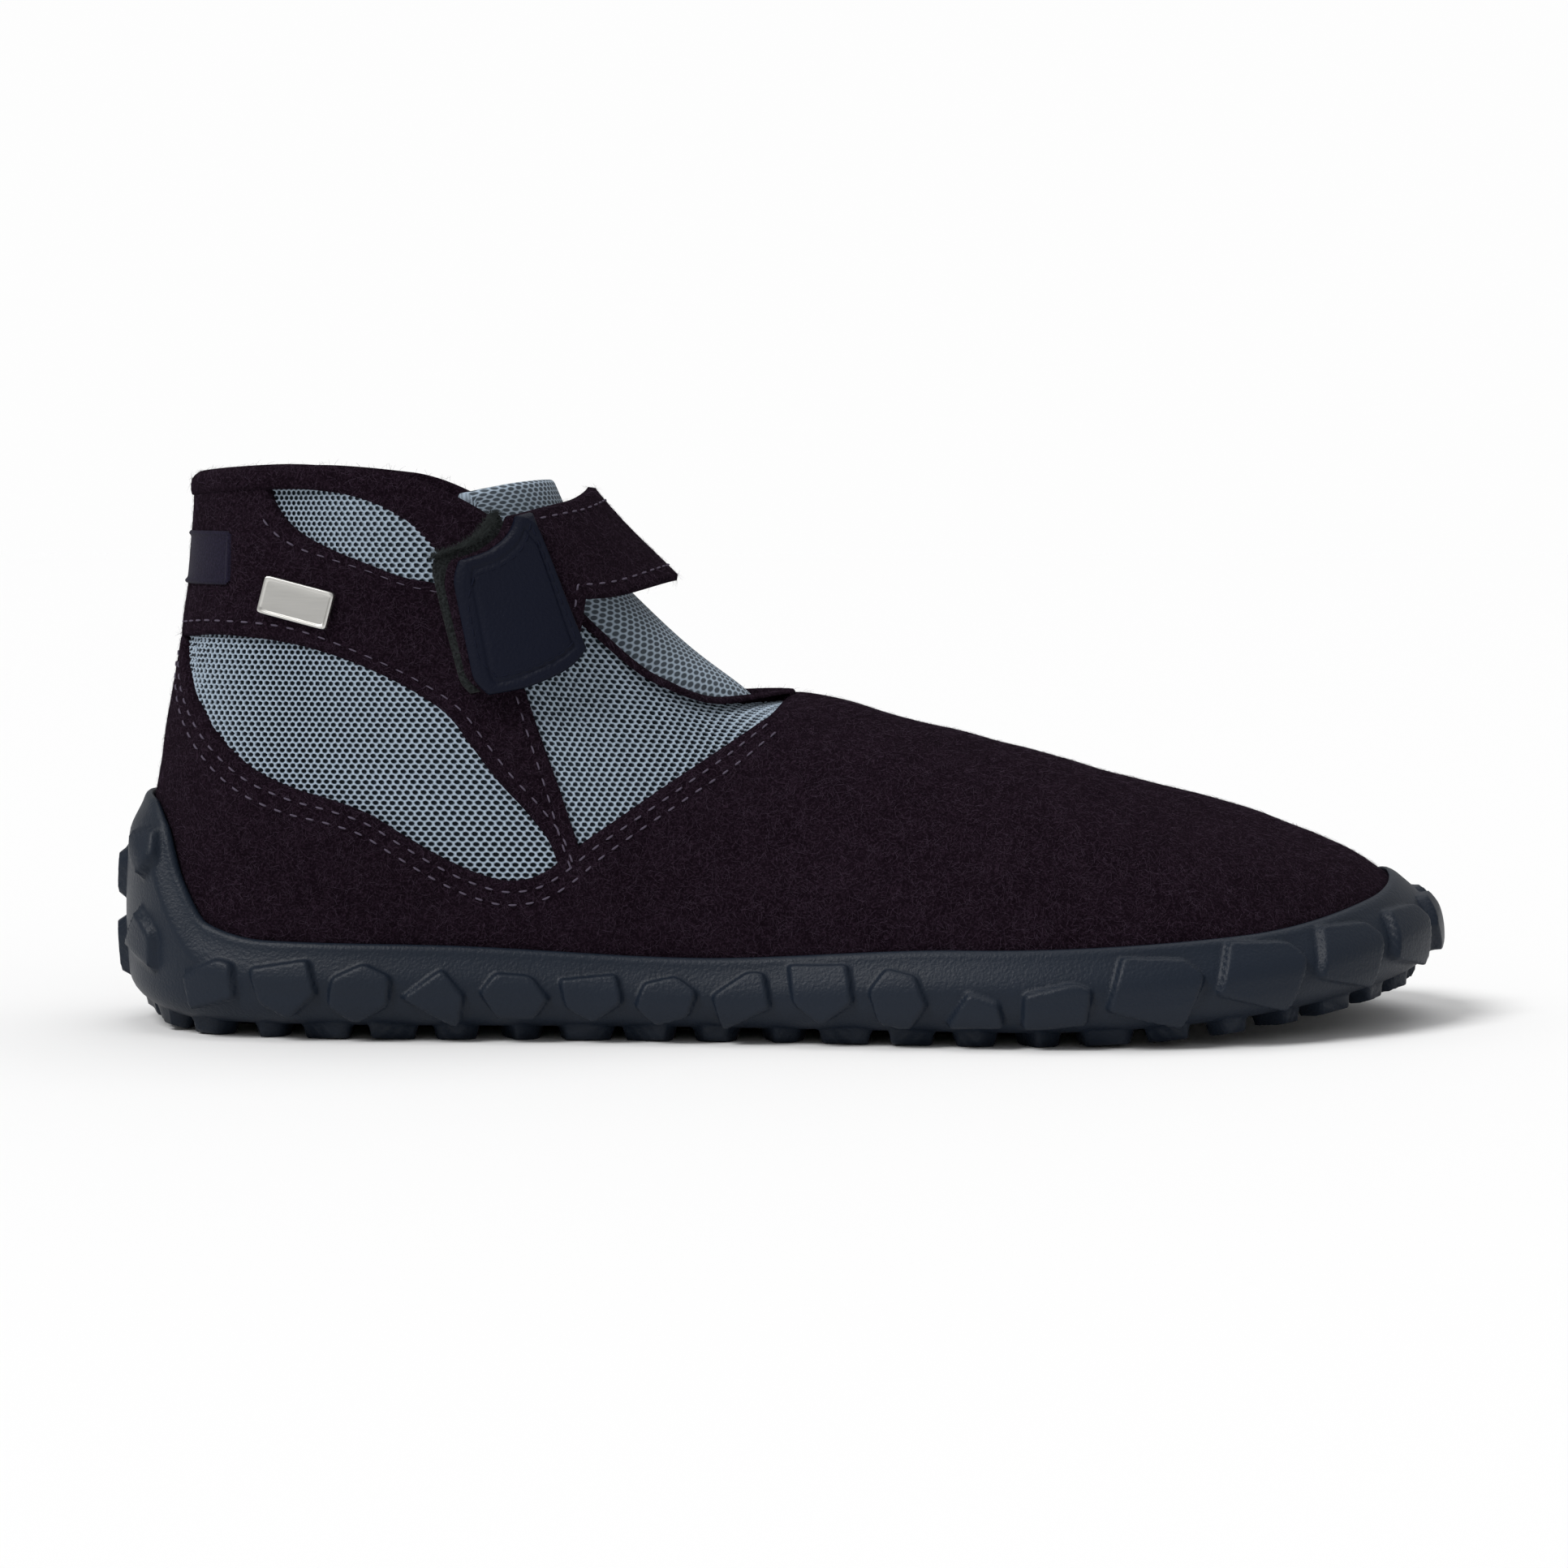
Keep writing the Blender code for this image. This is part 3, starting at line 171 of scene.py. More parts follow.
# Top of the rubber. Columns: walk, share of the heel cup's rise, share of the toe bumper's rise.
RUBBER_TOP = (
    (0.000, 1.00, 0.00),
    (0.042, 0.97, 0.00),
    (0.068, 0.80, 0.00),
    (0.088, 0.42, 0.00),
    (0.110, 0.12, 0.00),
    (0.150, 0.02, 0.00),
    (0.260, 0.00, 0.00),
    (0.430, -0.08, 0.00),
    (0.600, 0.00, 0.00),
    (0.780, 0.00, 0.22),
    (0.900, 0.00, 0.66),
    (1.000, 0.00, 1.00),
)

# Strap. Columns: rear edge walk and across, front edge walk and across (-1 and 1 are the throat's
# edges, and past them a unit is the height of the wall).
STRAP = (
    (0.281, -1.15, 0.295, -1.39),
    (0.308, -1.09, 0.330, -1.33),
    (0.326, -0.98, 0.368, -1.20),
    (0.330, -0.60, 0.400, -0.80),
    (0.326, 0.00, 0.412, 0.00),
    (0.330, 0.60, 0.400, 0.75),
    (0.326, 0.98, 0.372, 1.15),
    (0.308, 1.10, 0.345, 1.30),
    (0.290, 1.18, 0.312, 1.42),
)

# Edges of the felt pieces as seen from the side, in millimetres from the heel's back and the floor.
# Lower window: the foot piece's edge below it, and the band's edge above it and in front of it.
FOOT_EDGE = (
    (8.4, 55.4),
    (9.4, 50.6),
    (12.4, 44.8),
    (15.6, 41.1),
    (19.8, 37.8),
    (26.0, 35.1),
    (32.0, 33.4),
    (37.0, 31.6),
    (42.0, 28.6),
    (47.0, 25.7),
    (52.0, 23.4),
    (56.5, 22.3),
    (60.0, 22.8),
    (63.5, 24.8),
    (67.0, 27.6),
    (72.0, 31.0),
    (79.0, 35.8),
    (86.0, 40.6),
    (91.5, 44.4),
)
BAND_LOWER_EDGE = (
    (8.4, 55.8),
    (13.0, 56.3),
    (19.4, 56.1),
    (26.2, 55.2),
    (32.0, 53.8),
    (38.2, 51.5),
    (43.4, 48.9),
    (48.4, 45.4),
    (52.0, 40.6),
    (55.6, 35.8),
    (59.4, 31.6),
    (62.3, 27.6),
    (63.6, 24.0),
)
BAND_UPPER_EDGE = (
    (22.6, 77.4),
    (23.1, 75.6),
    (24.6, 73.3),
    (27.4, 70.9),
    (31.8, 68.6),
    (37.4, 66.4),
    (42.3, 64.6),
    (46.6, 63.8),
    (54.0, 62.0),
    (58.0, 52.0),
    (60.6, 44.0),
    (63.4, 36.0),
    (66.4, 27.0),
    (67.6, 24.0),
)
COLLAR_STRIP_EDGE = (
    (18.0, 77.2),
    (22.2, 76.9),
    (29.7, 76.7),
    (35.0, 76.0),
    (40.0, 74.3),
    (44.5, 71.4),
    (47.5, 68.0),
    (49.8, 64.0),
    (51.5, 58.0),
)

# Mesh sheets under the windows. Columns: millimetres from the heel, lowest and highest height.
LOWER_SHEET = (
    (7.0, 53.0, 57.5),
    (10.0, 47.0, 57.8),
    (14.0, 40.5, 57.8),
    (20.0, 35.6, 57.6),
    (28.0, 32.0, 56.6),
    (36.0, 29.6, 54.4),
    (44.0, 25.0, 50.6),
    (52.0, 21.2, 44.0),
    (60.0, 20.2, 34.0),
    (65.5, 21.6, 28.0),
)
UPPER_SHEET = (
    (21.0, 74.5, 78.2),
    (24.0, 71.0, 78.2),
    (30.0, 67.2, 78.0),
    (38.0, 63.8, 77.2),
    (46.0, 61.6, 73.0),
    (53.0, 60.5, 70.0),
)
# Columns: millimetres from the heel, lowest height. Its top is the throat's edge.
NOTCH_SHEET = (
    (55.0, 46.0),
    (60.0, 30.0),
    (66.0, 24.5),
    (74.0, 30.0),
    (84.0, 37.0),
    (92.0, 41.5),
    (99.0, 43.5),
)

# Folds of the lower window's mesh: their middle, direction and half length in millimetres, and their
# lift in metres. Columns: way across from the middle, half width, share of the lift.
FOLD_MIDDLE = (40.0, 34.0)
FOLD_WAY = (0.89, 0.45)
FOLD_LENGTH = 14.0
FOLD_LIFT = 0.00055
FOLDS = (
    (0.0, 2.0, 1.0),
    (3.8, 2.3, -0.7),
    (-4.2, 2.5, -0.5),
)


@dataclass(frozen=True)
class Sizes:
    """Driving sizes of the shoe, in metres, as in the part's source."""

    length: float = 0.190
    ball_width: float = 0.0775
    collar_height: float = 0.0785
    toe_box_height: float = 0.0305
    instep_height: float = 0.0475
    collar_width: float = 0.046
    wall: float = 0.0028
    window_depth: float = 0.0011
    gap: float = 0.0003
    sole_floor: float = 0.0050
    lug_depth: float = 0.0020
    side_lug_depth: float = 0.0013
    side_rubber: float = 0.0030
    lip_rubber: float = 0.0013
    lip_taper: float = 0.0060
    edge_radius: float = 0.0045
    side_height: float = 0.0135
    heel_cup_height: float = 0.0335
    toe_bumper_height: float = 0.0215
    toe_spring: float = 0.0065
    heel_lift: float = 0.0030
    flat_from: float = 0.075
    flat_to: float = 0.66
    spine_from: float = 0.11
    spine_to: float = 0.87
    throat_walk: float = 0.55
    heel_seam_height: float = 0.0556

    @property
    def side_inset(self) -> float:
        """Distance from the rubber's face to the upper's at the sole."""
        return self.side_rubber + self.gap

    @property
    def edge_arc(self) -> float:
        """Length of the tread's rounded edge."""
        return self.edge_radius * math.pi / 2


def hermite(knots: Array, values: Array, slope: Array, at: Array) -> Array:
    """Cubic through values with given slopes, piece by piece between the knots.

    Args:
        knots: Rising places of the values.
        values: Values at the knots.
        slope: Slopes at the knots.
        at: Places to evaluate.

    Returns:
        The curve's values at those places.
    """
    i = np.clip(np.searchsorted(knots, at, side="right") - 1, 0, len(knots) - 2)
    step = knots[i + 1] - knots[i]
    t = (at - knots[i]) / step
    h00, h10 = (1 + 2 * t) * (1 - t) ** 2, t * (1 - t) ** 2
    h01, h11 = t * t * (3 - 2 * t), t * t * (t - 1)
    return h00 * values[i] + h10 * step * slope[i] + h01 * values[i + 1] + h11 * step * slope[i + 1]


def monotone_curve(knots: Array, values: Array, at: Array) -> Array:
    """Cubic through the values, flat at the ends and at turning points, so it never overshoots.

    Args:
        knots: Rising places of the values.
        values: Values at the knots.
        at: Places to evaluate; past the ends the curve stays at its end values.

    Returns:
        The curve's values at those places.
    """
    step = np.diff(knots)
    secant = np.diff(values) / step
    slope = np.zeros(len(knots))
    left, right = 2 * step[1:] + step[:-1], step[1:] + 2 * step[:-1]
    with np.errstate(divide="ignore", invalid="ignore"):
        mean = (left + right) / (left / secant[:-1] + right / secant[1:])
    slope[1:-1] = np.where(secant[:-1] * secant[1:] > 0, mean, 0.0)
    return hermite(knots, values, slope, np.clip(np.asarray(at, float), knots[0], knots[-1]))


def path_length(points: Array) -> Array:
    """Length of the way along a row of points up to each of them, from 0."""
    return np.concatenate([[0.0], np.cumsum(np.linalg.norm(np.diff(points, axis=0), axis=1))])


def unit(vectors: Array) -> Array:
    """Vectors of length 1 in the same directions."""
    return vectors / np.linalg.norm(vectors, axis=-1)[..., None]


def read_columns(at: Array, knots: Array, rows: Array) -> Array:
    """Every column of a table, read between its rows.

    Args:
        at: Places to read.
        knots: Rising places of the rows.
        rows: Table, one row a knot.

    Returns:
        The values there, with the columns last.
    """
    return np.stack([np.interp(at, knots, column) for column in rows.T], axis=-1)


def table_curve(rows: Sequence[Sequence[float]], column: int, at: Array) -> Array:
    """One column of a table as a monotone curve over its first column.

    Args:
        rows: Table whose first column rises.
        column: Column to read.
        at: Places in the first column's units.

    Returns:
        The values there.
    """
    table = np.array([[float(row[0]), float(row[column])] for row in rows])
    return monotone_curve(table[:, 0], table[:, 1], at)


def closed_spline(points: Array, count: int) -> Array:
    """Smooth closed curve through points: a periodic cubic spline over the chord length.

    Args:
        points: Corners, one row each.
        count: Number of points wanted.

    Returns:
        Points evenly spaced along the chords.
    """
    n = len(points)
    chord = np.linalg.norm(np.roll(points, -1, axis=0) - points, axis=1)
    before = np.roll(chord, 1)
    index = np.arange(n)
    system = np.zeros((n, n))
    system[index, (index - 1) % n] += before
    system[index, index] += 2 * (before + chord)
    system[index, (index + 1) % n] += chord
    ahead = (np.roll(points, -1, axis=0) - points) / chord[:, None]
    bend = np.linalg.solve(system, 6 * (ahead - np.roll(ahead, 1, axis=0)))
    knots = np.concatenate([[0.0], np.cumsum(chord)])
    at = np.linspace(0.0, knots[-1], count, endpoint=False)
    i = np.clip(np.searchsorted(knots, at, side="right") - 1, 0, n - 1)
    j = (i + 1) % n
    h = chord[i][:, None]
    b = ((at - knots[i]) / chord[i])[:, None]
    a = 1 - b
    return a * points[i] + b * points[j] + ((a**3 - a) * bend[i] + (b**3 - b) * bend[j]) * h * h / 6


def with_height(plan: Array, height: Array) -> Array:
    """Puts heights under plan points as their third column.

    Args:
        plan: Points in plan.
        height: Heights, in the plan's shape or less.

    Returns:
        Points with three coordinates.
    """
    return np.concatenate([plan, np.broadcast_to(height, plan.shape[:-1])[..., None]], axis=-1)


def smoothstep(low: float, high: float, value: Array) -> Array:
    """Soft step from 0 at low to 1 at high.

    Args:
        low: Where it starts to rise.
        high: Where it has risen.
        value: Values.

    Returns:
        Each value's share t of the way, as 3t*t - 2t*t*t.
    """
    t = np.clip((value - low) / (high - low), 0, 1)
    return t * t * (3 - 2 * t)


class Last:
    """The upper's outer surface and the rubber round it, worked out from the driving sizes."""

    OUTLINE_POINTS = 3600
    TABLE_STEPS = 8000
    HALVINGS = 20
    NEWTON_STEPS = 14
    # Ridge over the toes: its bend as a share of the ball's width, where it starts, and its power.
    RIDGE_BEND = 0.075
    RIDGE_FROM = 0.45
    RIDGE_POWER = 1.5
    # Power of the arch across the opening.
    ARCH_POWER = 2.3

    def __init__(self, sizes: Sizes) -> None:
        """Works out the plan outline and the sections' control points.

        Args:
            sizes: Driving sizes of the shoe.
        """
        self.sizes = sizes
        self._make_outline()
        self._make_sections()

    def _make_outline(self) -> None:
        """Plan outline and outward normals over the walk, by arc length on each side."""
        s = self.sizes
        scale = np.array((s.length - 2 * s.side_inset, s.ball_width - 2 * s.side_inset))
        loop = closed_spline(np.array(OUTLINE) * scale + (s.side_inset, 0.0), self.OUTLINE_POINTS)
        self.outline = np.concatenate([loop, loop[:1]])
        along = path_length(self.outline)
        toe = int(np.argmax(loop[:, 0]))
        outer = along[: toe + 1] / along[toe]
        inner = 1 + (along[toe + 1 :] - along[toe]) / (along[-1] - along[toe])
        tangent = np.roll(loop, -1, axis=0) - np.roll(loop, 1, axis=0)
        normal = unit(np.stack([tangent[:, 1], -tangent[:, 0]], axis=1))
        self.way = (float(along[toe]), float(along[-1] - along[toe]))
        self.outline_walk = np.concatenate([outer, inner])
        self.outline_normal = np.concatenate([normal, normal[:1]])

    def _make_sections(self) -> None:
        """Bezier control points of each section and the directions in which they lift."""
        s = self.sizes
        self.walks = np.linspace(0, 2, self.TABLE_STEPS + 1)
        share, _ = self.share_and_side(self.walks)
        lower, upper, slope, flare = (table_curve(SECTION_SHAPE, k, share)[:, None] for k in (1, 2, 3, 4))
        slope, flare = np.radians(slope), np.radians(flare)
        plan = self.plan_point(self.walks)
        foot = with_height(plan, self.spring(plan[:, 0]) + s.sole_floor + s.gap)
        out = with_height(self.plan_normal(self.walks), np.zeros(len(self.walks)))
        top = self.top_edge(self.walks)
        across = foot - top
        across[:, 2] = 0
        reach = np.linalg.norm(across, axis=1)[:, None]
        across = across / reach
        rise = (top - foot)[:, 2:3]
        up = np.array((0.0, 0.0, 1.0))
        side_normal = np.cos(flare) * out - np.sin(flare) * up
        run, climb = reach * np.cos(slope), rise * np.sin(slope)
        top_normal = (run * up + climb * across) / np.hypot(run, climb)
        first = foot + lower * rise * (np.cos(flare) * up + np.sin(flare) * out)
        second = top + upper * (run * across - climb * up)
        self.controls = np.concatenate([foot, first, second, top, side_normal, top_normal], axis=1)

    @staticmethod
    def share_and_side(walk: Array) -> tuple[Array, Array]:
        """How far from heel to toe a walk has come, and the sign of its side.

        Args:
            walk: Way round the foot.

        Returns:
            Shares from 0 to 1, and -1 on the outer side or 1 on the inner one.
        """
        walk = np.mod(np.asarray(walk, float), 2.0)
        return np.where(walk <= 1, walk, 2 - walk), np.where(walk <= 1, -1.0, 1.0)

    def plan_point(self, walk: Array) -> Array:
        """Point of the foot outline in plan."""
        walk = np.mod(np.asarray(walk, float), 2.0)
        return read_columns(walk, self.outline_walk, self.outline)

    def plan_normal(self, walk: Array) -> Array:
        """Outward normal of the foot outline in plan.

        Args:
            walk: Way round the foot.

        Returns:
            Unit vectors in plan.
        """
        walk = np.mod(np.asarray(walk, float), 2.0)
        return unit(read_columns(walk, self.outline_walk, self.outline_normal))

    def spring(self, x: Array) -> Array:
        """Height of the tread above the floor: toe spring in front, a small lift behind.

        Args:
            x: Length from the back of the rubber.

        Returns:
            A square law of the way past the flat part at either end.
        """
        s = self.sizes
        x = np.asarray(x, float) / s.length
        toe = np.clip((x - s.flat_to) / (1 - s.flat_to), 0, None)
        heel = np.clip((s.flat_from - x) / s.flat_from, 0, None)
        return s.toe_spring * toe**2 + s.heel_lift * heel**2

    def ridge_line(self, share: Array) -> Array:
        """Sideways place of the ridge, which bends towards the big toe."""
        past = np.clip((share - self.RIDGE_FROM) / (1 - self.RIDGE_FROM), 0, 1)
        return self.sizes.ball_width * self.RIDGE_BEND * past**self.RIDGE_POWER

    def top_edge(self, walk: Array) -> Array:
        """Point of the collar, throat edge or ridge at a walk.

        Args:
            walk: Way round the foot.

        Returns:
            Points in the last's frame.
        """
        s = self.sizes
        share, side = self.share_and_side(walk)
        size = {"collar": s.collar_height, "instep": s.instep_height, "toe": s.toe_box_height}
        rows = [(w, x, gap, height * size[name]) for w, x, gap, height, name in TOP_EDGE]
        squares = [(row[0], row[2] ** 2) for row in rows]
        gap = np.sqrt(np.clip(table_curve(squares, 1, share), 0, None)) * s.collar_width
        gap = np.where(share < s.throat_walk, gap, 0.0)
        x = table_curve(rows, 1, share) * s.length
        return np.stack([x, self.ridge_line(share) + side * gap, table_curve(rows, 3, share)], axis=-1)

    def upper_point(self, walk: Array, rise: Array, lift: Array | float = 0.0) -> Array:
        """Point of the upper: a cubic Bezier up each section, with its controls moved by the lift.

        Args:
            walk: Way round the foot.
            rise: Way up the section.
            lift: Distance off the surface, negative inwards.

        Returns:
            Points in the last's frame.
        """
        walk, rise, lift = np.broadcast_arrays(*(np.asarray(a, float) for a in (walk, rise, lift)))
        place = np.mod(walk, 2.0) / 2.0 * self.TABLE_STEPS
        i = np.minimum(place.astype(int), self.TABLE_STEPS - 1)
        f = (place - i)[..., None]
        c = self.controls[i] * (1 - f) + self.controls[i + 1] * f
        foot, first, second, top, side_normal, top_normal = np.split(c, 6, axis=-1)
        side, up = lift[..., None] * side_normal, lift[..., None] * top_normal
        t = rise[..., None]
        start = (1 - t) ** 3 * (foot + side) + 3 * (1 - t) ** 2 * t * (first + side)
        return start + 3 * (1 - t) * t * t * (second + up) + t**3 * (top + up)

    def rise_at_height(self, walk: Array, height: Array, lift: Array | float = 0.0) -> Array:
        """Rise at which the surface reaches a height, found by halving.

        Args:
            walk: Way round the foot.
            height: Height above the floor.
            lift: Distance off the surface.

        Returns:
            The rise.
        """
        walk, height, lift = np.broadcast_arrays(*(np.asarray(a, float) for a in (walk, height, lift)))
        low, high = np.zeros(walk.shape), np.ones(walk.shape)
        for _ in range(self.HALVINGS):
            middle = (low + high) / 2
            below = self.upper_point(walk, middle, lift)[..., 2] < height
            low, high = np.where(below, middle, low), np.where(below, high, middle)
        return (low + high) / 2

    def side_place(self, x: Array, height: Array, side: Side) -> tuple[Array, Array]:
        """Walk and rise of the point that shows at a length and height from one side, by Newton steps.

        Args:
            x: Length from the back of the rubber.
            height: Height above the floor.
            side: Side that is looked at.

        Returns:
            The walk and the rise.
        """
        x, height = np.broadcast_arrays(np.asarray(x, float), np.asarray(height, float))
        half = np.linspace(0.03, 0.97, 200)
        share = np.interp(x, self.plan_point(half)[..., 0], half)
        rise = np.clip(height / self.sizes.collar_height, 0.05, 0.95)
        step = 1e-4
        most_share, most_rise = 0.05, 0.15
        for _ in range(self.NEWTON_STEPS):
            walk = self.walk_of(share, side)
            here = self.upper_point(walk, rise)
            by_share = (self.upper_point(self.walk_of(share + step, side), rise) - here) / step
            by_rise = (self.upper_point(walk, rise + step) - here) / step
            off_x, off_z = x - here[..., 0], height - here[..., 2]
            area = by_share[..., 0] * by_rise[..., 2] - by_share[..., 2] * by_rise[..., 0]
            ahead = (off_x * by_rise[..., 2] - off_z * by_rise[..., 0]) / area
            up = (off_z * by_share[..., 0] - off_x * by_share[..., 2]) / area
            share = np.clip(share + np.clip(ahead, -most_share, most_share), 0.01, 0.99)
            rise = rise + np.clip(up, -most_rise, most_rise)
        return self.walk_of(share, side), rise

    @staticmethod
    def walk_of(share: Array, side: Side) -> Array:
        """Walk of a share of the way from heel to toe on one side."""
        return share if side is Side.OUTER else 2 - share

    def opening_point(self, walk: Array, across: Array, lift: Array | float = 0.0) -> Array:
        """Point of the surface that spans the opening; past its edges, of the upper itself.

        Args:
            walk: Share of the way from heel to toe.
            across: -1 and 1 at the throat's edges, further out down the wall.
            lift: Distance off the surface.

        Returns:
            Points in the last's frame.
        """
        walk, across, lift = np.broadcast_arrays(*(np.asarray(a, float) for a in (walk, across, lift)))
        share, _ = self.share_and_side(walk)
        over = np.clip(np.abs(across) - 1, 0, 1)
        edge = self.upper_point(np.where(across <= 0, share, 2 - share), 1 - over, lift)
        inside = np.clip(np.abs(across), 0, 1)
        x = table_curve(INSTEP_LINE, 1, share) * self.sizes.length
        z = table_curve(INSTEP_LINE, 2, share) * self.sizes.collar_height
        middle = np.stack([x, self.ridge_line(share), z], axis=-1) + lift[..., None] * self.forward(share)
        spanned = edge + (middle - edge) * (1 - inside**self.ARCH_POWER)[..., None]
        spanned[..., 1] = middle[..., 1] + (edge - middle)[..., 1] * inside
        return np.where((inside < 1)[..., None], spanned, edge)

    def forward(self, share: Array) -> Array:
        """Direction square to the instep line, forwards and up.

        Args:
            share: Share of the way from heel to toe.

        Returns:
            Unit vectors.
        """
        step = 0.01
        share = np.clip(share, INSTEP_LINE[0][0] + step, INSTEP_LINE[-1][0] - step)
        x = [table_curve(INSTEP_LINE, 1, share + d) * self.sizes.length for d in (-step, step)]
        z = [table_curve(INSTEP_LINE, 2, share + d) * self.sizes.collar_height for d in (-step, step)]
        along = unit(np.stack([x[1] - x[0], np.zeros(np.shape(share)), z[1] - z[0]], axis=-1))
        return np.stack([-along[..., 2], np.zeros(np.shape(share)), along[..., 0]], axis=-1)

    def rubber_top(self, walk: Array) -> Array:
        """Height of the rubber's top edge above the floor.

        Args:
            walk: Way round the foot.

        Returns:
            The side's height plus its share of the heel cup and of the toe bumper.
        """
        s = self.sizes
        share, _ = self.share_and_side(walk)
        cup = table_curve(RUBBER_TOP, 1, share) * (s.heel_cup_height - s.side_height)
        return s.side_height + cup + table_curve(RUBBER_TOP, 2, share) * (s.toe_bumper_height - s.side_height)

    def rubber_point(self, walk: Array, up_side: Array) -> Array:
        """Point of the rubber's face without lugs: side, rounded edge, then in under the shoe.

        Args:
            walk: Way round the foot.
            up_side: Way up from the tread's edge; negative is the way in underneath.

        Returns:
            Points in the last's frame.
        """
        s = self.sizes
        walk, up_side = np.broadcast_arrays(np.asarray(walk, float), np.asarray(up_side, float))
        shoulder = self.spring(self.plan_point(walk)[..., 0]) + s.lug_depth + s.edge_radius
        height = shoulder + np.clip(up_side - s.edge_arc, 0, None)
        taper = smoothstep(0, s.lip_taper, self.rubber_top(walk) - height)
        thick = s.gap + s.lip_rubber + (s.side_rubber - s.lip_rubber) * taper
        point = self.upper_point(walk, self.rise_at_height(walk, height, thick), thick)
        angle = np.clip((s.edge_arc - up_side) / s.edge_radius, 0, math.pi / 2)
        inward = s.edge_radius * (1 - np.cos(angle)) + np.clip(-up_side, 0, None)
        plan = point[..., :2] - self.plan_normal(walk) * inward[..., None]
        side_height = np.where(up_side < s.edge_arc, shoulder - s.edge_radius * np.sin(angle), point[..., 2])
        return with_height(plan, np.where(up_side < 0, self.spring(plan[..., 0]) + s.lug_depth, side_height))

    def spine_point(self, walk: Array, height: float) -> Array:
        """Point on the sole's middle line that a section runs in to.

        Args:
            walk: Way round the foot.
            height: Height above the tread.

        Returns:
            Points in the last's frame.
        """
        s = self.sizes
        share, _ = self.share_and_side(walk)
        ease = share * share * (3 - 2 * share) * 0.25 + share * 0.75
        x = s.length * (s.spine_from + (s.spine_to - s.spine_from) * ease)
        return np.stack([x, self.ridge_line(share), self.spring(x) + height], axis=-1)


def grid_normals(points: Array, closed: bool = False) -> Array:
    """Unit normals of a grid of points, from the cross product of its two directions.

    Args:
        points: Grid, rows by columns by three.
        closed: Whether the last column joins the first.

    Returns:
        Normals in the grid's shape.
    """
    if closed:
        along = np.roll(points, -1, axis=1) - np.roll(points, 1, axis=1)
    else:
        along = np.gradient(points, axis=1)
    normal = np.cross(along, np.gradient(points, axis=0))
    return normal / np.maximum(np.linalg.norm(normal, axis=-1), 1e-12)[..., None]


@dataclass
class Workshop:
    """What every piece is made with: the last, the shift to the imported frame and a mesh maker."""

    last: Last
    shift: Array = field(default_factory=lambda: np.zeros(3))
    felt_faces: list[Array] = field(default_factory=list)

    def piece(
        self,
        name: str,
        points: Array,
        faces: Array,
        material: Material,
        uv: Array | None = None,
        values: dict[str, Array] | None = None,
    ) -> Piece:
        """Makes an object of quads that rides on the shoe.

        Args:
            name: Name of the piece.
            points: Vertices in the last's frame.
            faces: Four vertex numbers a row; a repeated one makes a triangle.
            material: Finish.
            uv: Two coordinates a vertex, in metres.
            values: Named float attributes, one value a vertex.

        Returns:
            The new object.
        """
        points = np.asarray(points, float).reshape(-1, 3) + self.shift
        faces = np.asarray(faces, np.int32).reshape(-1, 4)
        mesh = bpy.data.meshes.new(name)
        mesh.vertices.add(len(points))
        mesh.vertices.foreach_set("co", points.astype(np.float32).ravel())
        mesh.loops.add(faces.size)
        mesh.loops.foreach_set("vertex_index", faces.ravel())
        mesh.polygons.add(len(faces))
        mesh.polygons.foreach_set("loop_start", np.arange(0, faces.size, 4, dtype=np.int32))
        mesh.update(calc_edges=True)
        for key, value in (values or {}).items():
            layer = mesh.attributes.new(key, "FLOAT", "POINT")
            layer.data.foreach_set("value", np.asarray(value, np.float32).ravel())
        if uv is not None:
            layer = mesh.uv_layers.new(name="UVMap")
            layer.data.foreach_set("uv", np.asarray(uv, np.float32).reshape(-1, 2)[faces.ravel()].ravel())
        self._clean(mesh)
        mesh.materials.append(material)
        mesh.shade_smooth()
        obj = bpy.data.objects.new(name, mesh)
        bpy.context.scene.collection.objects.link(obj)
        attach(obj, "root")
        LOG.info("%s: %d faces", name, len(mesh.polygons))
        return obj

    @staticmethod
    def _clean(mesh: bpy.types.Mesh) -> None:
        """Merges vertices at one place, which closes seams, ridges and poles.

        Args:
            mesh: Mesh to clean.
        """
        work = bmesh.new()
        work.from_mesh(mesh)
        bmesh.ops.remove_doubles(work, verts=work.verts[:], dist=MERGE_DISTANCE)
        work.to_mesh(mesh)
        work.free()

    def grid(
        self,
        name: str,
        points: Array,
        material: Material,
        closed: bool = False,
        uv: Array | None = None,
        values: dict[str, Array] | None = None,
        flip: bool = False,
    ) -> Piece:
        """Makes a piece from a grid of points.

        Args:
            name: Name of the piece.
            points: Rows by columns by three.
            material: Finish.
            closed: Whether the last column joins the first.
            uv: Coordinates in the grid's shape.
            values: Attributes in the grid's shape.
            flip: Turns the faces round.

        Returns:
            The new object.
        """
        return self.piece(name, points, grid_faces(*points.shape[:2], closed, flip), material, uv, values)


def grid_faces(rows: int, columns: int, closed: bool = False, flip: bool = False) -> Array:
    """Quads over a grid of vertices, numbered row by row.

    Args:
        rows: Rows of the grid.
        columns: Columns of the grid.
        closed: Whether the last column joins the first.
        flip: Turns the faces round.

    Returns:
        Four vertex numbers a face.
    """
    index = np.arange(rows * columns).reshape(rows, columns)
    if closed:
        index = np.concatenate([index, index[:, :1]], axis=1)
    quads = np.stack([index[:-1, :-1], index[:-1, 1:], index[1:, 1:], index[1:, :-1]], axis=-1).reshape(-1, 4)
    return quads[:, ::-1] if flip else quads


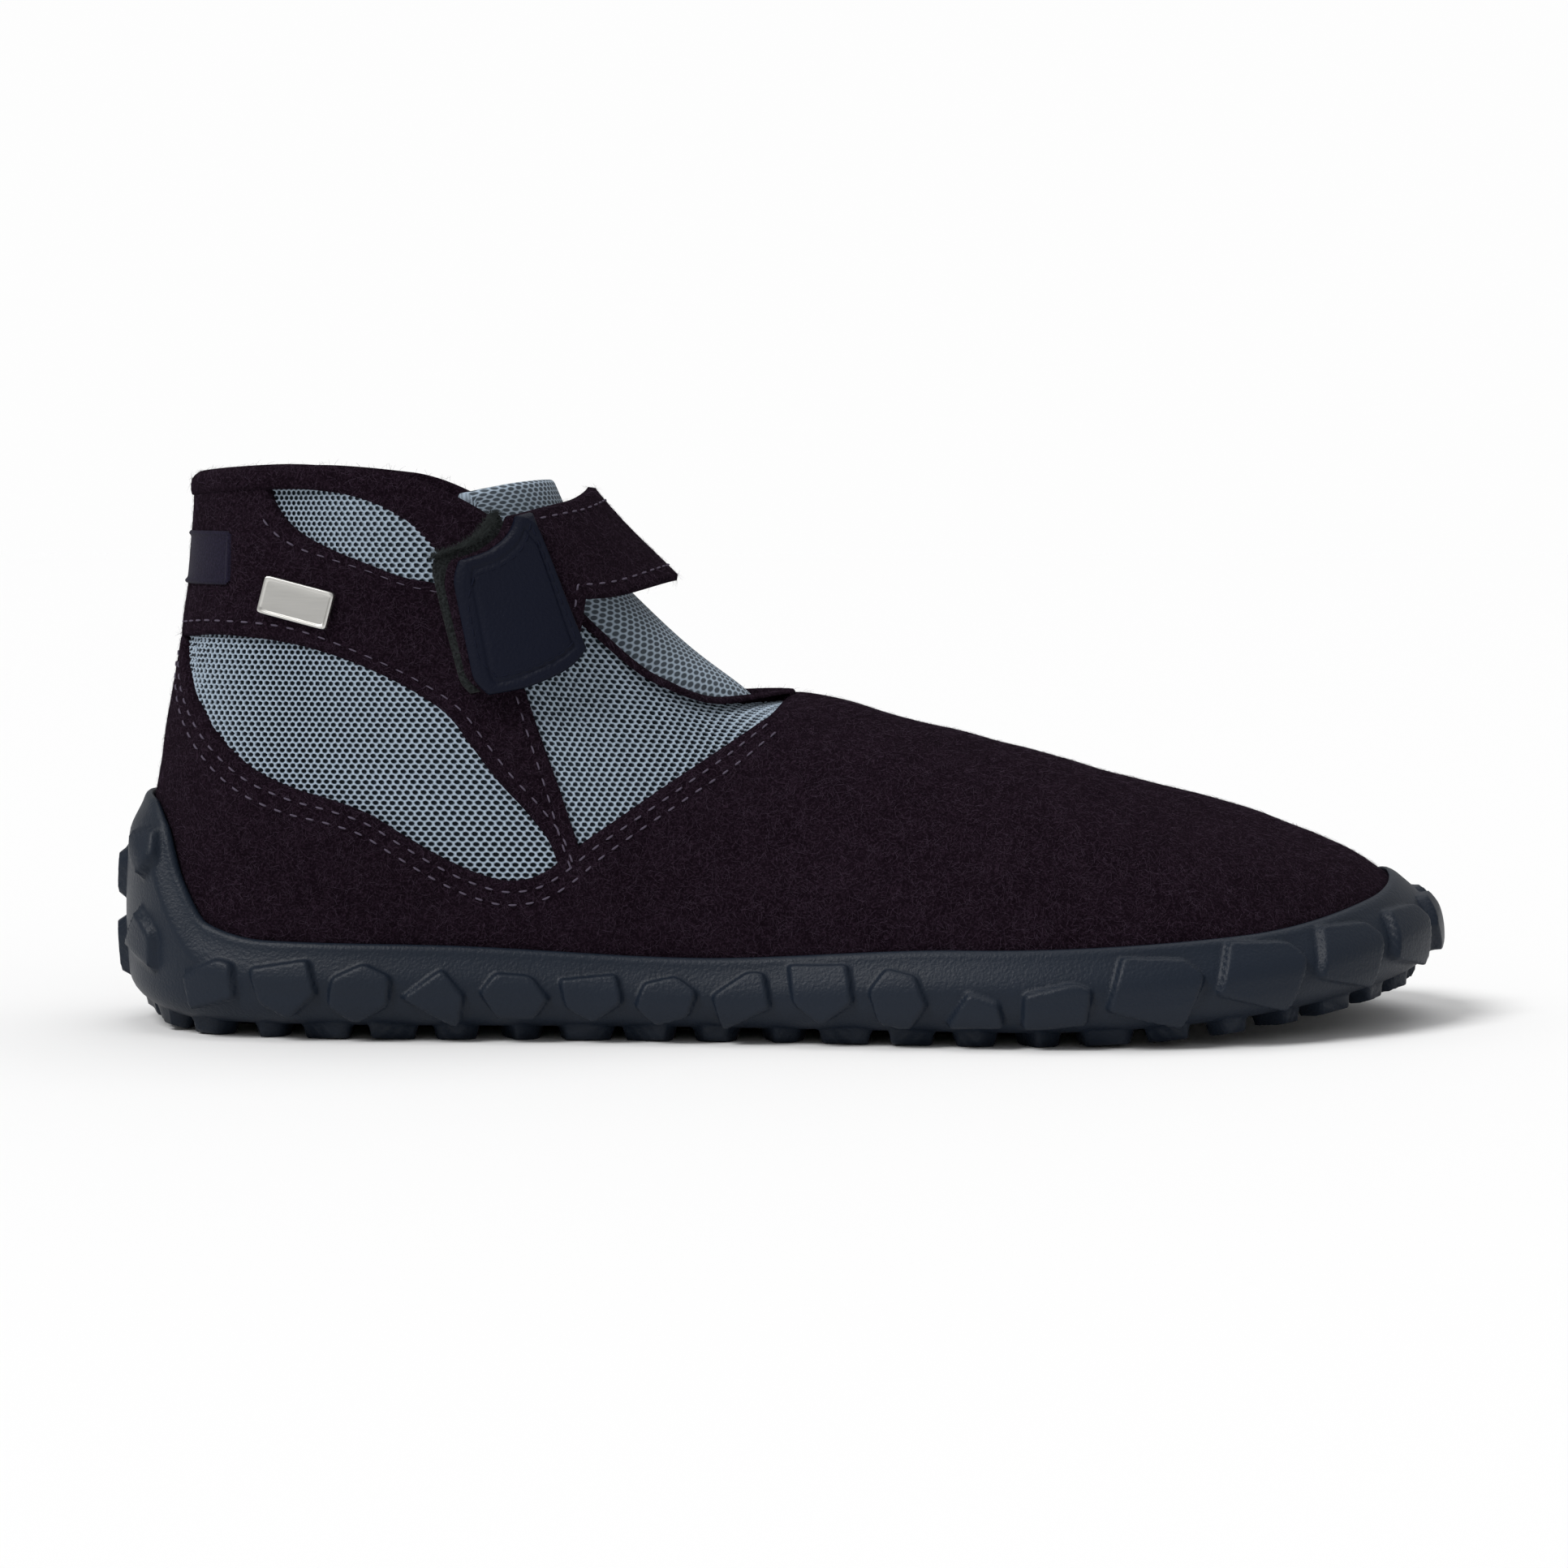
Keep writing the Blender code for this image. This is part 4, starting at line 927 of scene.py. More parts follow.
@dataclass(frozen=True)
class Weave:
    """Lattice of the air mesh's holes, in metres."""

    pitch: float = 0.00128
    row: float = 0.00072
    hole_half_length: float = 0.00042
    hole_half_height: float = 0.00029
    depth: float = 0.00045
    hole_inside: float = 0.72
    hole_outside: float = 1.22

    @property
    def stretch(self) -> tuple[float, float]:
        """A cell's length and height, each over half a hole's."""
        return self.pitch / self.hole_half_length, 2 * self.row / self.hole_half_height

    def cells(self, way: Array, height: Array) -> Array:
        """Places counted in cells, which is the UV map of the mesh pieces."""
        return np.stack([way / self.pitch, height / (2 * self.row)], axis=-1)

    def holes(self, cells: Array) -> Array:
        """1 in the holes and 0 on the yarn: ellipses on two staggered lattices.

        Args:
            cells: Places counted in cells.

        Returns:
            How much of a hole is at each place.
        """
        distance = [
            np.hypot(*((np.mod(cells[..., k] + off, 1) - 0.5) * self.stretch[k] for k in (0, 1)))
            for off in (0.0, 0.5)
        ]
        return 1 - smoothstep(self.hole_inside, self.hole_outside, np.minimum(*distance))


WEAVE = Weave()


def climb(points: Array) -> Array:
    """Way up each column of a grid from the height of its first point."""
    step = np.linalg.norm(np.diff(points, axis=0), axis=-1)
    return points[:1, :, 2] + np.concatenate([0 * step[:1], np.cumsum(step, axis=0)])


def cell_corners(points: Array, flip: bool = False) -> Array:
    """Corners of a grid's cells, cells by four by three."""
    corners = points.reshape(-1, 3)[grid_faces(*points.shape[:2])]
    return corners[:, ::-1] if flip else corners


# Finishes


def toned(colour: Colour, factor: float) -> Colour:
    """Colour made darker or lighter by a factor."""
    return tuple(factor * c for c in colour)


class Shader:
    """Small helper that builds one Principled material's nodes."""

    def __init__(self, name: str, roughness: float, metallic: float = 0.0) -> None:
        """Starts a material.

        Args:
            name: Name of the finish.
            roughness: Roughness of the whole surface.
            metallic: 1 for metal.
        """
        self.material = bpy.data.materials.new(name)
        self.material.use_nodes = True
        self.tree = self.material.node_tree
        self.surface = self.tree.nodes["Principled BSDF"]
        self.surface.inputs["Roughness"].default_value = roughness
        self.surface.inputs["Metallic"].default_value = metallic
        self.place = self.tree.nodes.new("ShaderNodeTexCoord")

    def set(self, **values: float | tuple[float, ...]) -> None:
        """Sets the shader's own sockets, with underscores for spaces in their names."""
        for key, value in values.items():
            self.surface.inputs[key.replace("_", " ")].default_value = value

    def node(self, kind: str, **values: object) -> bpy.types.Node:
        """Adds a node and sets its properties."""
        made = self.tree.nodes.new(kind)
        for key, value in values.items():
            setattr(made, key, value)
        return made

    def join(self, source: Socket, target: Socket) -> None:
        """Links two sockets."""
        self.tree.links.new(source, target)

    def noise(
        self,
        scale: float,
        detail: float = 2.0,
        stretch: tuple[float, float, float] | None = None,
        distortion: float = 0.0,
    ) -> Socket:
        """Noise over the object's coordinates, stretched by a Mapping where asked.

        Args:
            scale: Lumps a metre, about.
            detail: Finer layers.
            stretch: Scale of each axis.
            distortion: How much it is tangled.

        Returns:
            The noise, from 0 to 1.
        """
        node = self.node("ShaderNodeTexNoise")
        node.inputs["Scale"].default_value = scale
        node.inputs["Detail"].default_value = detail
        node.inputs["Distortion"].default_value = distortion
        source = self.place.outputs["Object"]
        if stretch:
            mapping = self.node("ShaderNodeMapping")
            mapping.inputs["Scale"].default_value = stretch
            self.join(source, mapping.inputs["Vector"])
            source = mapping.outputs["Vector"]
        self.join(source, node.inputs["Vector"])
        return node.outputs["Fac"]

    def ramp(self, value: Socket, low: float, high: float) -> Socket:
        """Stretches a value to 0 at low and 1 at high.

        Args:
            value: Value to stretch.
            low: Where it is 0.
            high: Where it is 1.

        Returns:
            The stretched value.
        """
        node = self.node("ShaderNodeMapRange")
        node.inputs["From Min"].default_value = low
        node.inputs["From Max"].default_value = high
        self.join(value, node.inputs["Value"])
        return node.outputs["Result"]

    def math(self, operation: str, a: Socket | float, b: Socket | float) -> Socket:
        """Arithmetic on two values.

        Args:
            operation: Name of the operation.
            a: First value.
            b: Second value.

        Returns:
            The result.
        """
        node = self.node("ShaderNodeMath", operation=operation)
        for socket, value in zip(node.inputs, (a, b)):
            if isinstance(value, Socket):
                self.join(value, socket)
            else:
                socket.default_value = value
        return node.outputs[0]

    def blend(self, first: Socket, first_weight: float, second: Socket, second_weight: float) -> Socket:
        """Weighted sum of two values.

        Args:
            first: First value.
            first_weight: Its weight.
            second: Second value.
            second_weight: Its weight.

        Returns:
            The sum.
        """
        weighted = [self.math("MULTIPLY", *pair) for pair in ((first, first_weight), (second, second_weight))]
        return self.math("ADD", *weighted)

    def mix(self, value: Socket, first: Socket | Colour, second: Socket | Colour) -> Socket:
        """Colour between two by a value.

        Args:
            value: 0 for the first and 1 for the second.
            first: First colour.
            second: Second colour.

        Returns:
            The colour.
        """
        node = self.node("ShaderNodeMix", data_type="RGBA")
        self.join(value, node.inputs["Factor"])
        for socket, colour in ((node.inputs[6], first), (node.inputs[7], second)):
            if isinstance(colour, Socket):
                self.join(colour, socket)
            else:
                socket.default_value = (*colour, 1.0)
        return node.outputs[2]

    def attribute(self, name: str) -> Socket:
        """A float attribute of the mesh."""
        return self.node("ShaderNodeAttribute", attribute_name=name).outputs["Fac"]

    def colour(self, source: Socket | Colour) -> None:
        """Sets or links the base colour."""
        if isinstance(source, Socket):
            self.join(source, self.surface.inputs["Base Color"])
        else:
            self.surface.inputs["Base Color"].default_value = (*source, 1.0)

    def bump(self, *layers: tuple[Socket, float, float]) -> None:
        """Chains bumps: (height, strength, distance) each.

        Args:
            layers: Height, strength and distance of each.
        """
        normal = None
        for height, strength, distance in layers:
            node = self.node("ShaderNodeBump")
            node.inputs["Strength"].default_value = strength
            node.inputs["Distance"].default_value = distance
            self.join(height, node.inputs["Height"])
            if normal is not None:
                self.join(normal, node.inputs["Normal"])
            normal = node.outputs["Normal"]
        self.join(normal, self.surface.inputs["Normal"])


@dataclass(frozen=True)
class Felt:
    """Dense wool felt: dark plum ground with fine lighter fibres."""

    ground: Colour = (0.0034, 0.0017, 0.0031)
    fibre: Colour = (0.026, 0.0155, 0.025)

    def build(self) -> Material:
        """Makes the finish."""
        shader = Shader("wool_felt", 1.0)
        shader.set(Specular_IOR_Level=0.0, Sheen_Weight=0.012)
        shader.set(Sheen_Roughness=0.6, Sheen_Tint=(0.75, 0.62, 0.76, 1.0))
        fine = shader.noise(3400.0, 3.0)
        tangled = shader.noise(1500.0, 3.0, distortion=2.2)
        patches = shader.noise(160.0, 3.0)
        fleck = shader.ramp(shader.math("MULTIPLY", fine, tangled), 0.20, 0.44)
        shader.colour(shader.mix(shader.blend(fleck, 0.80, patches, 0.25), self.ground, self.fibre))
        shader.bump((fine, 0.60, 0.00025), (tangled, 0.55, 0.00045), (patches, 0.10, 0.0010))
        return shader.material


@dataclass(frozen=True)
class Rubber:
    """Moulded rubber with a fine grain."""

    name: str = "navy_rubber"
    tone: Colour = (0.0076, 0.0125, 0.0225)
    roughness: float = 0.46
    grain: float = 0.42
    gloss: float = 0.22

    def build(self) -> Material:
        """Makes the finish."""
        shader = Shader(self.name, self.roughness)
        shader.set(Specular_IOR_Level=self.gloss)
        grain = shader.noise(2300.0, 2.0)
        broad = shader.noise(45.0, 3.0)
        shader.colour(shader.mix(broad, toned(self.tone, 0.82), toned(self.tone, 1.16)))
        shader.bump((grain, self.grain, 0.00022))
        return shader.material


@dataclass(frozen=True)
class AirMesh:
    """Knitted air mesh: light yarn round holes painted dark as shade, on two staggered lattices of the UV
    map.

    Attributes:
        stretch: A cell's length and height, each over half a hole's.
        yarn: Colour of the yarn, painted lighter on its crowns as a painted highlight.
        hole: Painted shade in the holes.
    """

    stretch: tuple[float, float]
    yarn: Colour = (0.236, 0.288, 0.346)
    hole: Colour = (0.0055, 0.0105, 0.0165)

    def build(self) -> Material:
        """Makes the finish; a float attribute of the mesh gives how much painted shade the holes get."""
        shader = Shader("air_mesh", 0.85)
        shader.set(Specular_IOR_Level=0.2, Sheen_Weight=0.05, Sheen_Roughness=0.5)
        twist = shader.noise(5200.0, 2.0)
        cells = shader.node("ShaderNodeSeparateXYZ")
        shader.join(shader.place.outputs["UV"], cells.inputs["Vector"])
        distances = []
        for offset in (0.0, 0.5):
            squares = []
            for axis, stretch in zip(("X", "Y"), self.stretch):
                place = shader.math("FRACT", shader.math("ADD", cells.outputs[axis], offset), 0.0)
                off = shader.math("MULTIPLY", shader.math("SUBTRACT", place, 0.5), stretch)
                squares.append(shader.math("POWER", off, 2.0))
            distances.append(shader.math("ADD", *squares))
        nearest = shader.math("MINIMUM", *distances)
        # Painted shade: the holes are painted dark.
        hole = shader.ramp(nearest, 1.28, 0.80)
        # Painted highlight: the yarn is painted lighter on its crowns, away from the holes, and darker next
        # to them; the twist noise adds random tone.
        painted_crown_highlight = shader.ramp(nearest, 1.05, 2.0)
        level = shader.blend(painted_crown_highlight, 0.75, twist, 0.25)
        yarn_with_painted_light = shader.mix(level, toned(self.yarn, 0.62), toned(self.yarn, 1.66))
        # How much painted shade the holes get, read from a mesh attribute.
        painted_hole_shade = shader.math("MULTIPLY", hole, shader.attribute("hole_shade_share"))
        shader.colour(shader.mix(painted_hole_shade, yarn_with_painted_light, self.hole))
        shader.bump((twist, 0.45, 0.00010))
        return shader.material


@dataclass(frozen=True)
class Cloth:
    """Plain dark cloth for lining, pile or patch."""

    name: str
    tone: Colour
    light: Colour
    scale: float = 2600.0
    strength: float = 0.5

    def build(self) -> Material:
        """Makes the finish."""
        shader = Shader(self.name, 0.97)
        shader.set(Specular_IOR_Level=0.12, Sheen_Weight=0.04, Sheen_Roughness=0.5)
        fine = shader.noise(self.scale, 3.0)
        shader.colour(shader.mix(shader.ramp(fine, 0.35, 0.7), self.tone, self.light))
        shader.bump((fine, self.strength, 0.0002))
        return shader.material


@dataclass(frozen=True)
class Metal:
    """Satin nickel."""

    tone: Colour = (0.70, 0.69, 0.66)

    def build(self) -> Material:
        """Makes the finish."""
        shader = Shader("nickel", 0.34, 1.0)
        brushed = shader.noise(900.0, 3.0, (0.2, 1.0, 4.0))
        shader.colour(shader.mix(brushed, toned(self.tone, 0.85), self.tone))
        shader.bump((brushed, 0.06, 0.0001))
        return shader.material


@dataclass(frozen=True)
class Thread:
    """Sewing thread."""

    name: str
    tone: Colour

    def build(self) -> Material:
        """Makes the finish."""
        shader = Shader(self.name, 0.85)
        shader.set(Specular_IOR_Level=0.05)
        twist = shader.noise(4200.0, 1.0)
        shader.colour(shader.mix(twist, toned(self.tone, 0.7), self.tone))
        shader.bump((twist, 0.3, 0.0001))
        return shader.material


class Finishes:
    """Every finish of the shoe, made once."""

    def __init__(self) -> None:
        """Builds the materials."""
        self.felt = Felt().build()
        self.rubber = Rubber().build()
        self.air_mesh = AirMesh(WEAVE.stretch).build()
        self.lining = Cloth("lining", (0.008, 0.008, 0.010), (0.022, 0.022, 0.027)).build()
        self.footbed = Cloth("footbed", (0.016, 0.016, 0.019), (0.040, 0.040, 0.046), 1800.0).build()
        self.pile = Cloth("hook_pile", (0.0040, 0.0047, 0.0050), (0.022, 0.025, 0.026), 3000.0, 0.8).build()
        self.patch = Cloth("patch_weave", (0.0070, 0.0054, 0.0142), (0.0155, 0.0125, 0.0285), 3600.0).build()
        self.tip = Rubber("tip_rubber", (0.0021, 0.0034, 0.0112), 0.50, 0.45, 0.13).build()
        self.nickel = Metal().build()
        self.fibre = Thread("wool_fibre", (0.060, 0.041, 0.062)).build()
        self.pile_fibre = Thread("pile_fibre", (0.036, 0.041, 0.041)).build()
        self.thread = Thread("pale_thread", (0.112, 0.094, 0.130)).build()
        self.dark_thread = Thread("navy_thread", (0.010, 0.012, 0.024)).build()


# Pieces


@dataclass
class Lug:
    """One lug of the sole as a convex outline with rounded corners, in metres.

    Attributes:
        corners: Corners round its middle, anticlockwise.
        walk: Walk of its middle; under the shoe its length from the heel.
        height: Way up the rubber of its middle; under the shoe its place sideways.
        largest_power: Limit of the powers taken of e.
    """

    corners: Array
    walk: float
    height: float
    largest_power: float = 40.0

    def depth_share(self, along: Array, up: Array, edge: float, soft: float) -> Array:
        """Height of the lug as a share of its depth: a soft step on the distance inside its sides.

        Args:
            along: Way along the sole from the lug's middle.
            up: Way up from the lug's middle.
            edge: Width of the slope at its rim.
            soft: How much its corners are rounded.

        Returns:
            0 outside to 1 on top.
        """
        ends = np.roll(self.corners, -1, axis=0) - self.corners
        length = np.linalg.norm(ends, axis=1)
        inward = np.stack([-ends[:, 1], ends[:, 0]], axis=1) / length[:, None]
        distance = np.stack(
            [(along - x) * normal[0] + (up - y) * normal[1] for (x, y), normal in zip(self.corners, inward)]
        )
        powers = np.clip(-distance / soft, -self.largest_power, self.largest_power)
        nearest = -soft * np.log(np.exp(powers).sum(axis=0))
        return smoothstep(-0.15 * edge, edge, nearest)


@dataclass
class Outsole:
    """Rubber cup sole with its side lugs and its tread."""

    shop: Workshop
    finishes: Finishes
    columns: int = 1280
    side_rows: int = 38
    edge_rows: int = 11
    tread_rows: int = 20
    lug_edge: float = 0.00052
    corner_soft: float = 0.00022
    reach_under: float = 0.0065
    lug_reach: float = 0.010
    side_row: int = 20
    edge_lug_count: int = 24
    edge_lug_height: float = -0.0012
    edge_lug_half_length: float = 0.0038
    edge_lug_half_height: float = 0.0030
    tread_pitch: float = 0.0125
    tread_half_length: float = 0.0047
    tread_half_width: float = 0.0049
    tread_column_pitch: float = 0.0128
    tread_margin: float = 0.0120
    shapes: dict[str, tuple[tuple[float, float], ...]] = field(
        default_factory=lambda: {
            "slab": ((-1.0, -0.75), (0.72, -1.0), (1.0, 0.55), (0.55, 1.0), (-0.8, 0.85)),
            "shield": ((-0.75, -0.35), (0.05, -1.0), (0.95, -0.3), (0.8, 0.95), (-0.9, 0.9)),
            "pebble": ((-0.45, -1.0), (0.6, -0.9), (1.0, 0.1), (0.4, 1.0), (-0.6, 0.95), (-1.0, 0.0)),
            "wedge": ((-1.0, -0.8), (0.9, -1.0), (0.75, 0.4), (-0.15, 1.0)),
        }
    )
    # Columns: shape, walk, height up the rubber, half length, half height, turn in degrees.
    side_lugs: tuple[tuple[str, float, float, float, float, float], ...] = (
        ("shield", 0.060, 0.0250, 0.0032, 0.0036, 12.0),
        ("wedge", 0.062, 0.0135, 0.0046, 0.0040, -8.0),
        ("slab", 0.118, 0.0082, 0.0042, 0.0032, 20.0),
        ("shield", 0.165, 0.0078, 0.0050, 0.0040, 8.0),
        ("pebble", 0.213, 0.0076, 0.0050, 0.0036, 22.0),
        ("wedge", 0.262, 0.0076, 0.0050, 0.0034, -22.0),
        ("pebble", 0.311, 0.0072, 0.0052, 0.0031, -6.0),
        ("shield", 0.360, 0.0070, 0.0050, 0.0032, 4.0),
        ("pebble", 0.409, 0.0068, 0.0048, 0.0030, 10.0),
        ("slab", 0.458, 0.0070, 0.0046, 0.0030, 28.0),
        ("shield", 0.508, 0.0080, 0.0052, 0.0042, 0.0),
        ("pebble", 0.558, 0.0074, 0.0044, 0.0038, -14.0),
        ("wedge", 0.606, 0.0062, 0.0046, 0.0026, 4.0),
        ("slab", 0.656, 0.0066, 0.0052, 0.0030, 8.0),
        ("slab", 0.716, 0.0082, 0.0064, 0.0046, -10.0),
        ("slab", 0.784, 0.0088, 0.0066, 0.0046, -12.0),
        ("slab", 0.852, 0.0090, 0.0064, 0.0044, -10.0),
        ("slab", 0.918, 0.0090, 0.0058, 0.0042, -8.0),
        ("pebble", 0.974, 0.0090, 0.0046, 0.0040, 0.0),
    )
    # Columns: height up the rubber, half size.
    heel_back_lugs: tuple[tuple[float, float], ...] = ((0.0100, 0.0042), (0.0205, 0.0036))
    # Crest of the lip. Columns: height from the top edge, share of the lip's rubber.
    lip: tuple[tuple[float, float], ...] = (
        (-0.0030, 0.0),
        (-0.0008, 0.0),
        (-0.00025, 0.10),
        (0.0, 0.38),
        (-0.00005, 0.66),
        (-0.0003, 0.90),
    )

    def outline(self, shape: str, half_length: float, half_height: float, turn: float) -> Array:
        """Corners of a lug, anticlockwise.

        Args:
            shape: Name of its shape.
            half_length: Half its length.
            half_height: Half its height.
            turn: Turn in degrees.

        Returns:
            Corners round its middle.
        """
        corners = np.array(self.shapes[shape]) * (half_length, half_height)
        angle = math.radians(turn)
        spin = np.array(((math.cos(angle), -math.sin(angle)), (math.sin(angle), math.cos(angle))))
        return corners @ spin.T

    def lugs(self) -> list[Lug]:
        """Lugs on the side and round the tread's edge."""
        made = []
        for side in Side:
            for shape, share, height, half_length, half_height, turn in self.side_lugs:
                corners = self.outline(shape, half_length, half_height, turn * -side.value)
                made.append(Lug(corners, float(Last.walk_of(share, side)), height))
        for height, half_height in self.heel_back_lugs:
            made.append(Lug(self.outline("slab", half_height, half_height, 0.0), 0.0, height))
        names = list(self.shapes)
        for side in Side:
            for i in range(self.edge_lug_count):
                share = (i + 0.5) / self.edge_lug_count
                turn = 14.0 * math.sin(2.4 * i + side.value)
                half_length = self.edge_lug_half_length * (1 + 0.08 * math.sin(1.7 * i))
                corners = self.outline(names[i % len(names)], half_length, self.edge_lug_half_height, turn)
                made.append(Lug(corners, float(Last.walk_of(share, side)), self.edge_lug_height))
        return made

    def tread_lugs(self) -> list[Lug]:
        """Lugs under the shoe in rows, their walk and height standing for x and y."""
        s = self.shop.last.sizes
        names = list(self.shapes)
        half = 361
        edge = self.shop.last.rubber_point(np.linspace(0, 2, 2 * half - 1), np.zeros(2 * half - 1))
        lines = (edge[:half], edge[half:][::-1])
        rows = int((s.length - 2 * self.tread_margin) / self.tread_pitch)
        first = (s.length - (rows - 1) * self.tread_pitch) / 2
        made = []
        for i in range(rows):
            x = first + i * self.tread_pitch
            low, high = (float(np.interp(x, line[:, 0], line[:, 1])) for line in lines)
            room = high - low - 2 * self.tread_margin
            columns = max(1, int(room / self.tread_column_pitch) + 1)
            pitch = room / columns
            half_width = min(self.tread_half_width, 0.38 * pitch)
            for j in range(columns):
                turn = 180.0 * ((i + j) % 2) + 12.0 * math.sin(1.9 * i + 2.7 * j)
                shape = names[(i + 2 * j) % len(names)]
                corners = self.outline(shape, self.tread_half_length, half_width, turn)
                made.append(Lug(corners, x, low + self.tread_margin + (j + 0.5) * pitch))
        return made

    def rows(self, walks: Array) -> tuple[Array, Array]:
        """Way up the rubber of each row of the grid, and the rows' points without lugs.

        The rows run from inside the lip over its crest, down the side and the rounded edge, in
        under the shoe and on to the sole's middle line.

        Args:
            walks: Walks of the columns.

        Returns:
            The ways up, and the points.
        """
        last = self.shop.last
        s = last.sizes
        top = last.rubber_top(walks)
        shoulder = last.spring(last.plan_point(walks)[..., 0]) + s.lug_depth + s.edge_radius
        height = s.edge_arc + top - shoulder
        points, ways = [], []
        for drop, share in self.lip:
            lift = s.gap + share * s.lip_rubber
            rise = last.rise_at_height(walks, top + drop, lift)
            points.append(last.upper_point(walks, rise, lift))
            ways.append(height + OFF_SIDE)
        side = np.linspace(1.0, 0.0, self.side_rows)[:, None] ** 0.9
        under = np.linspace(-0.0002, -self.reach_under, self.edge_rows)[:, None]
        up = np.concatenate([0.0002 + (height - 0.0009) * side, under + 0 * height])
        points.extend(last.rubber_point(np.broadcast_to(walks, up.shape), up))
        ways.extend(up)
        inner = points[-1]
        spine = last.spine_point(walks, s.lug_depth)
        for share in np.linspace(0.0, 1.0, self.tread_rows + 1)[1:]:
            row = inner + (spine - inner) * share
            row[:, 2] = last.spring(row[:, 0]) + s.lug_depth
            points.append(row)
            ways.append(np.full(len(walks), -OFF_SIDE))
        return np.array(ways), np.array(points)

    def build(self) -> None:
        """Builds sidewall and tread: the smooth rubber moved along its normals by its lugs' height."""
        last = self.shop.last
        s = last.sizes
        walks = np.linspace(0, 2, self.columns, endpoint=False)
        ways, points = self.rows(walks)
        normals = grid_normals(points, closed=True)
        if (normals[self.side_row, :, :2] * last.plan_normal(walks)).sum() < 0:
            normals = -normals
        height = np.zeros(ways.shape)
        for lug in self.lugs():
            way = last.way[0] if lug.walk <= 1 else last.way[1]
            along = (np.mod(walks - lug.walk + 1, 2.0) - 1) * way
            near = np.abs(along) < self.lug_reach
            up = ways[:, near]
            share = lug.depth_share(along[None, near], up - lug.height, self.lug_edge, self.corner_soft)
            height[:, near] = np.maximum(height[:, near], share * (np.abs(up) < OFF_SIDE / 2))
        depth = s.side_lug_depth + (s.lug_depth - s.side_lug_depth) * np.clip(1 - ways / s.edge_arc, 0, 1)
        under = ways < 0
        for lug in self.tread_lugs():
            x, y = points[..., 0] - lug.walk, points[..., 1] - lug.height
            share = lug.depth_share(x, y, self.lug_edge, self.corner_soft)
            height = np.where(under, np.maximum(height, share), height)
        points = points + normals * (height * depth)[..., None]
        points[..., 2] = np.maximum(points[..., 2], last.spring(points[..., 0]))
        seam = len(points) - self.tread_rows
        piece = self.shop.grid("rubber_sidewall", points[:seam], self.finishes.rubber, closed=True)
        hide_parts("outsole")
        tread = self.shop.grid("rubber_tread", points[seam - 1 :, ::2], self.finishes.rubber, closed=True)


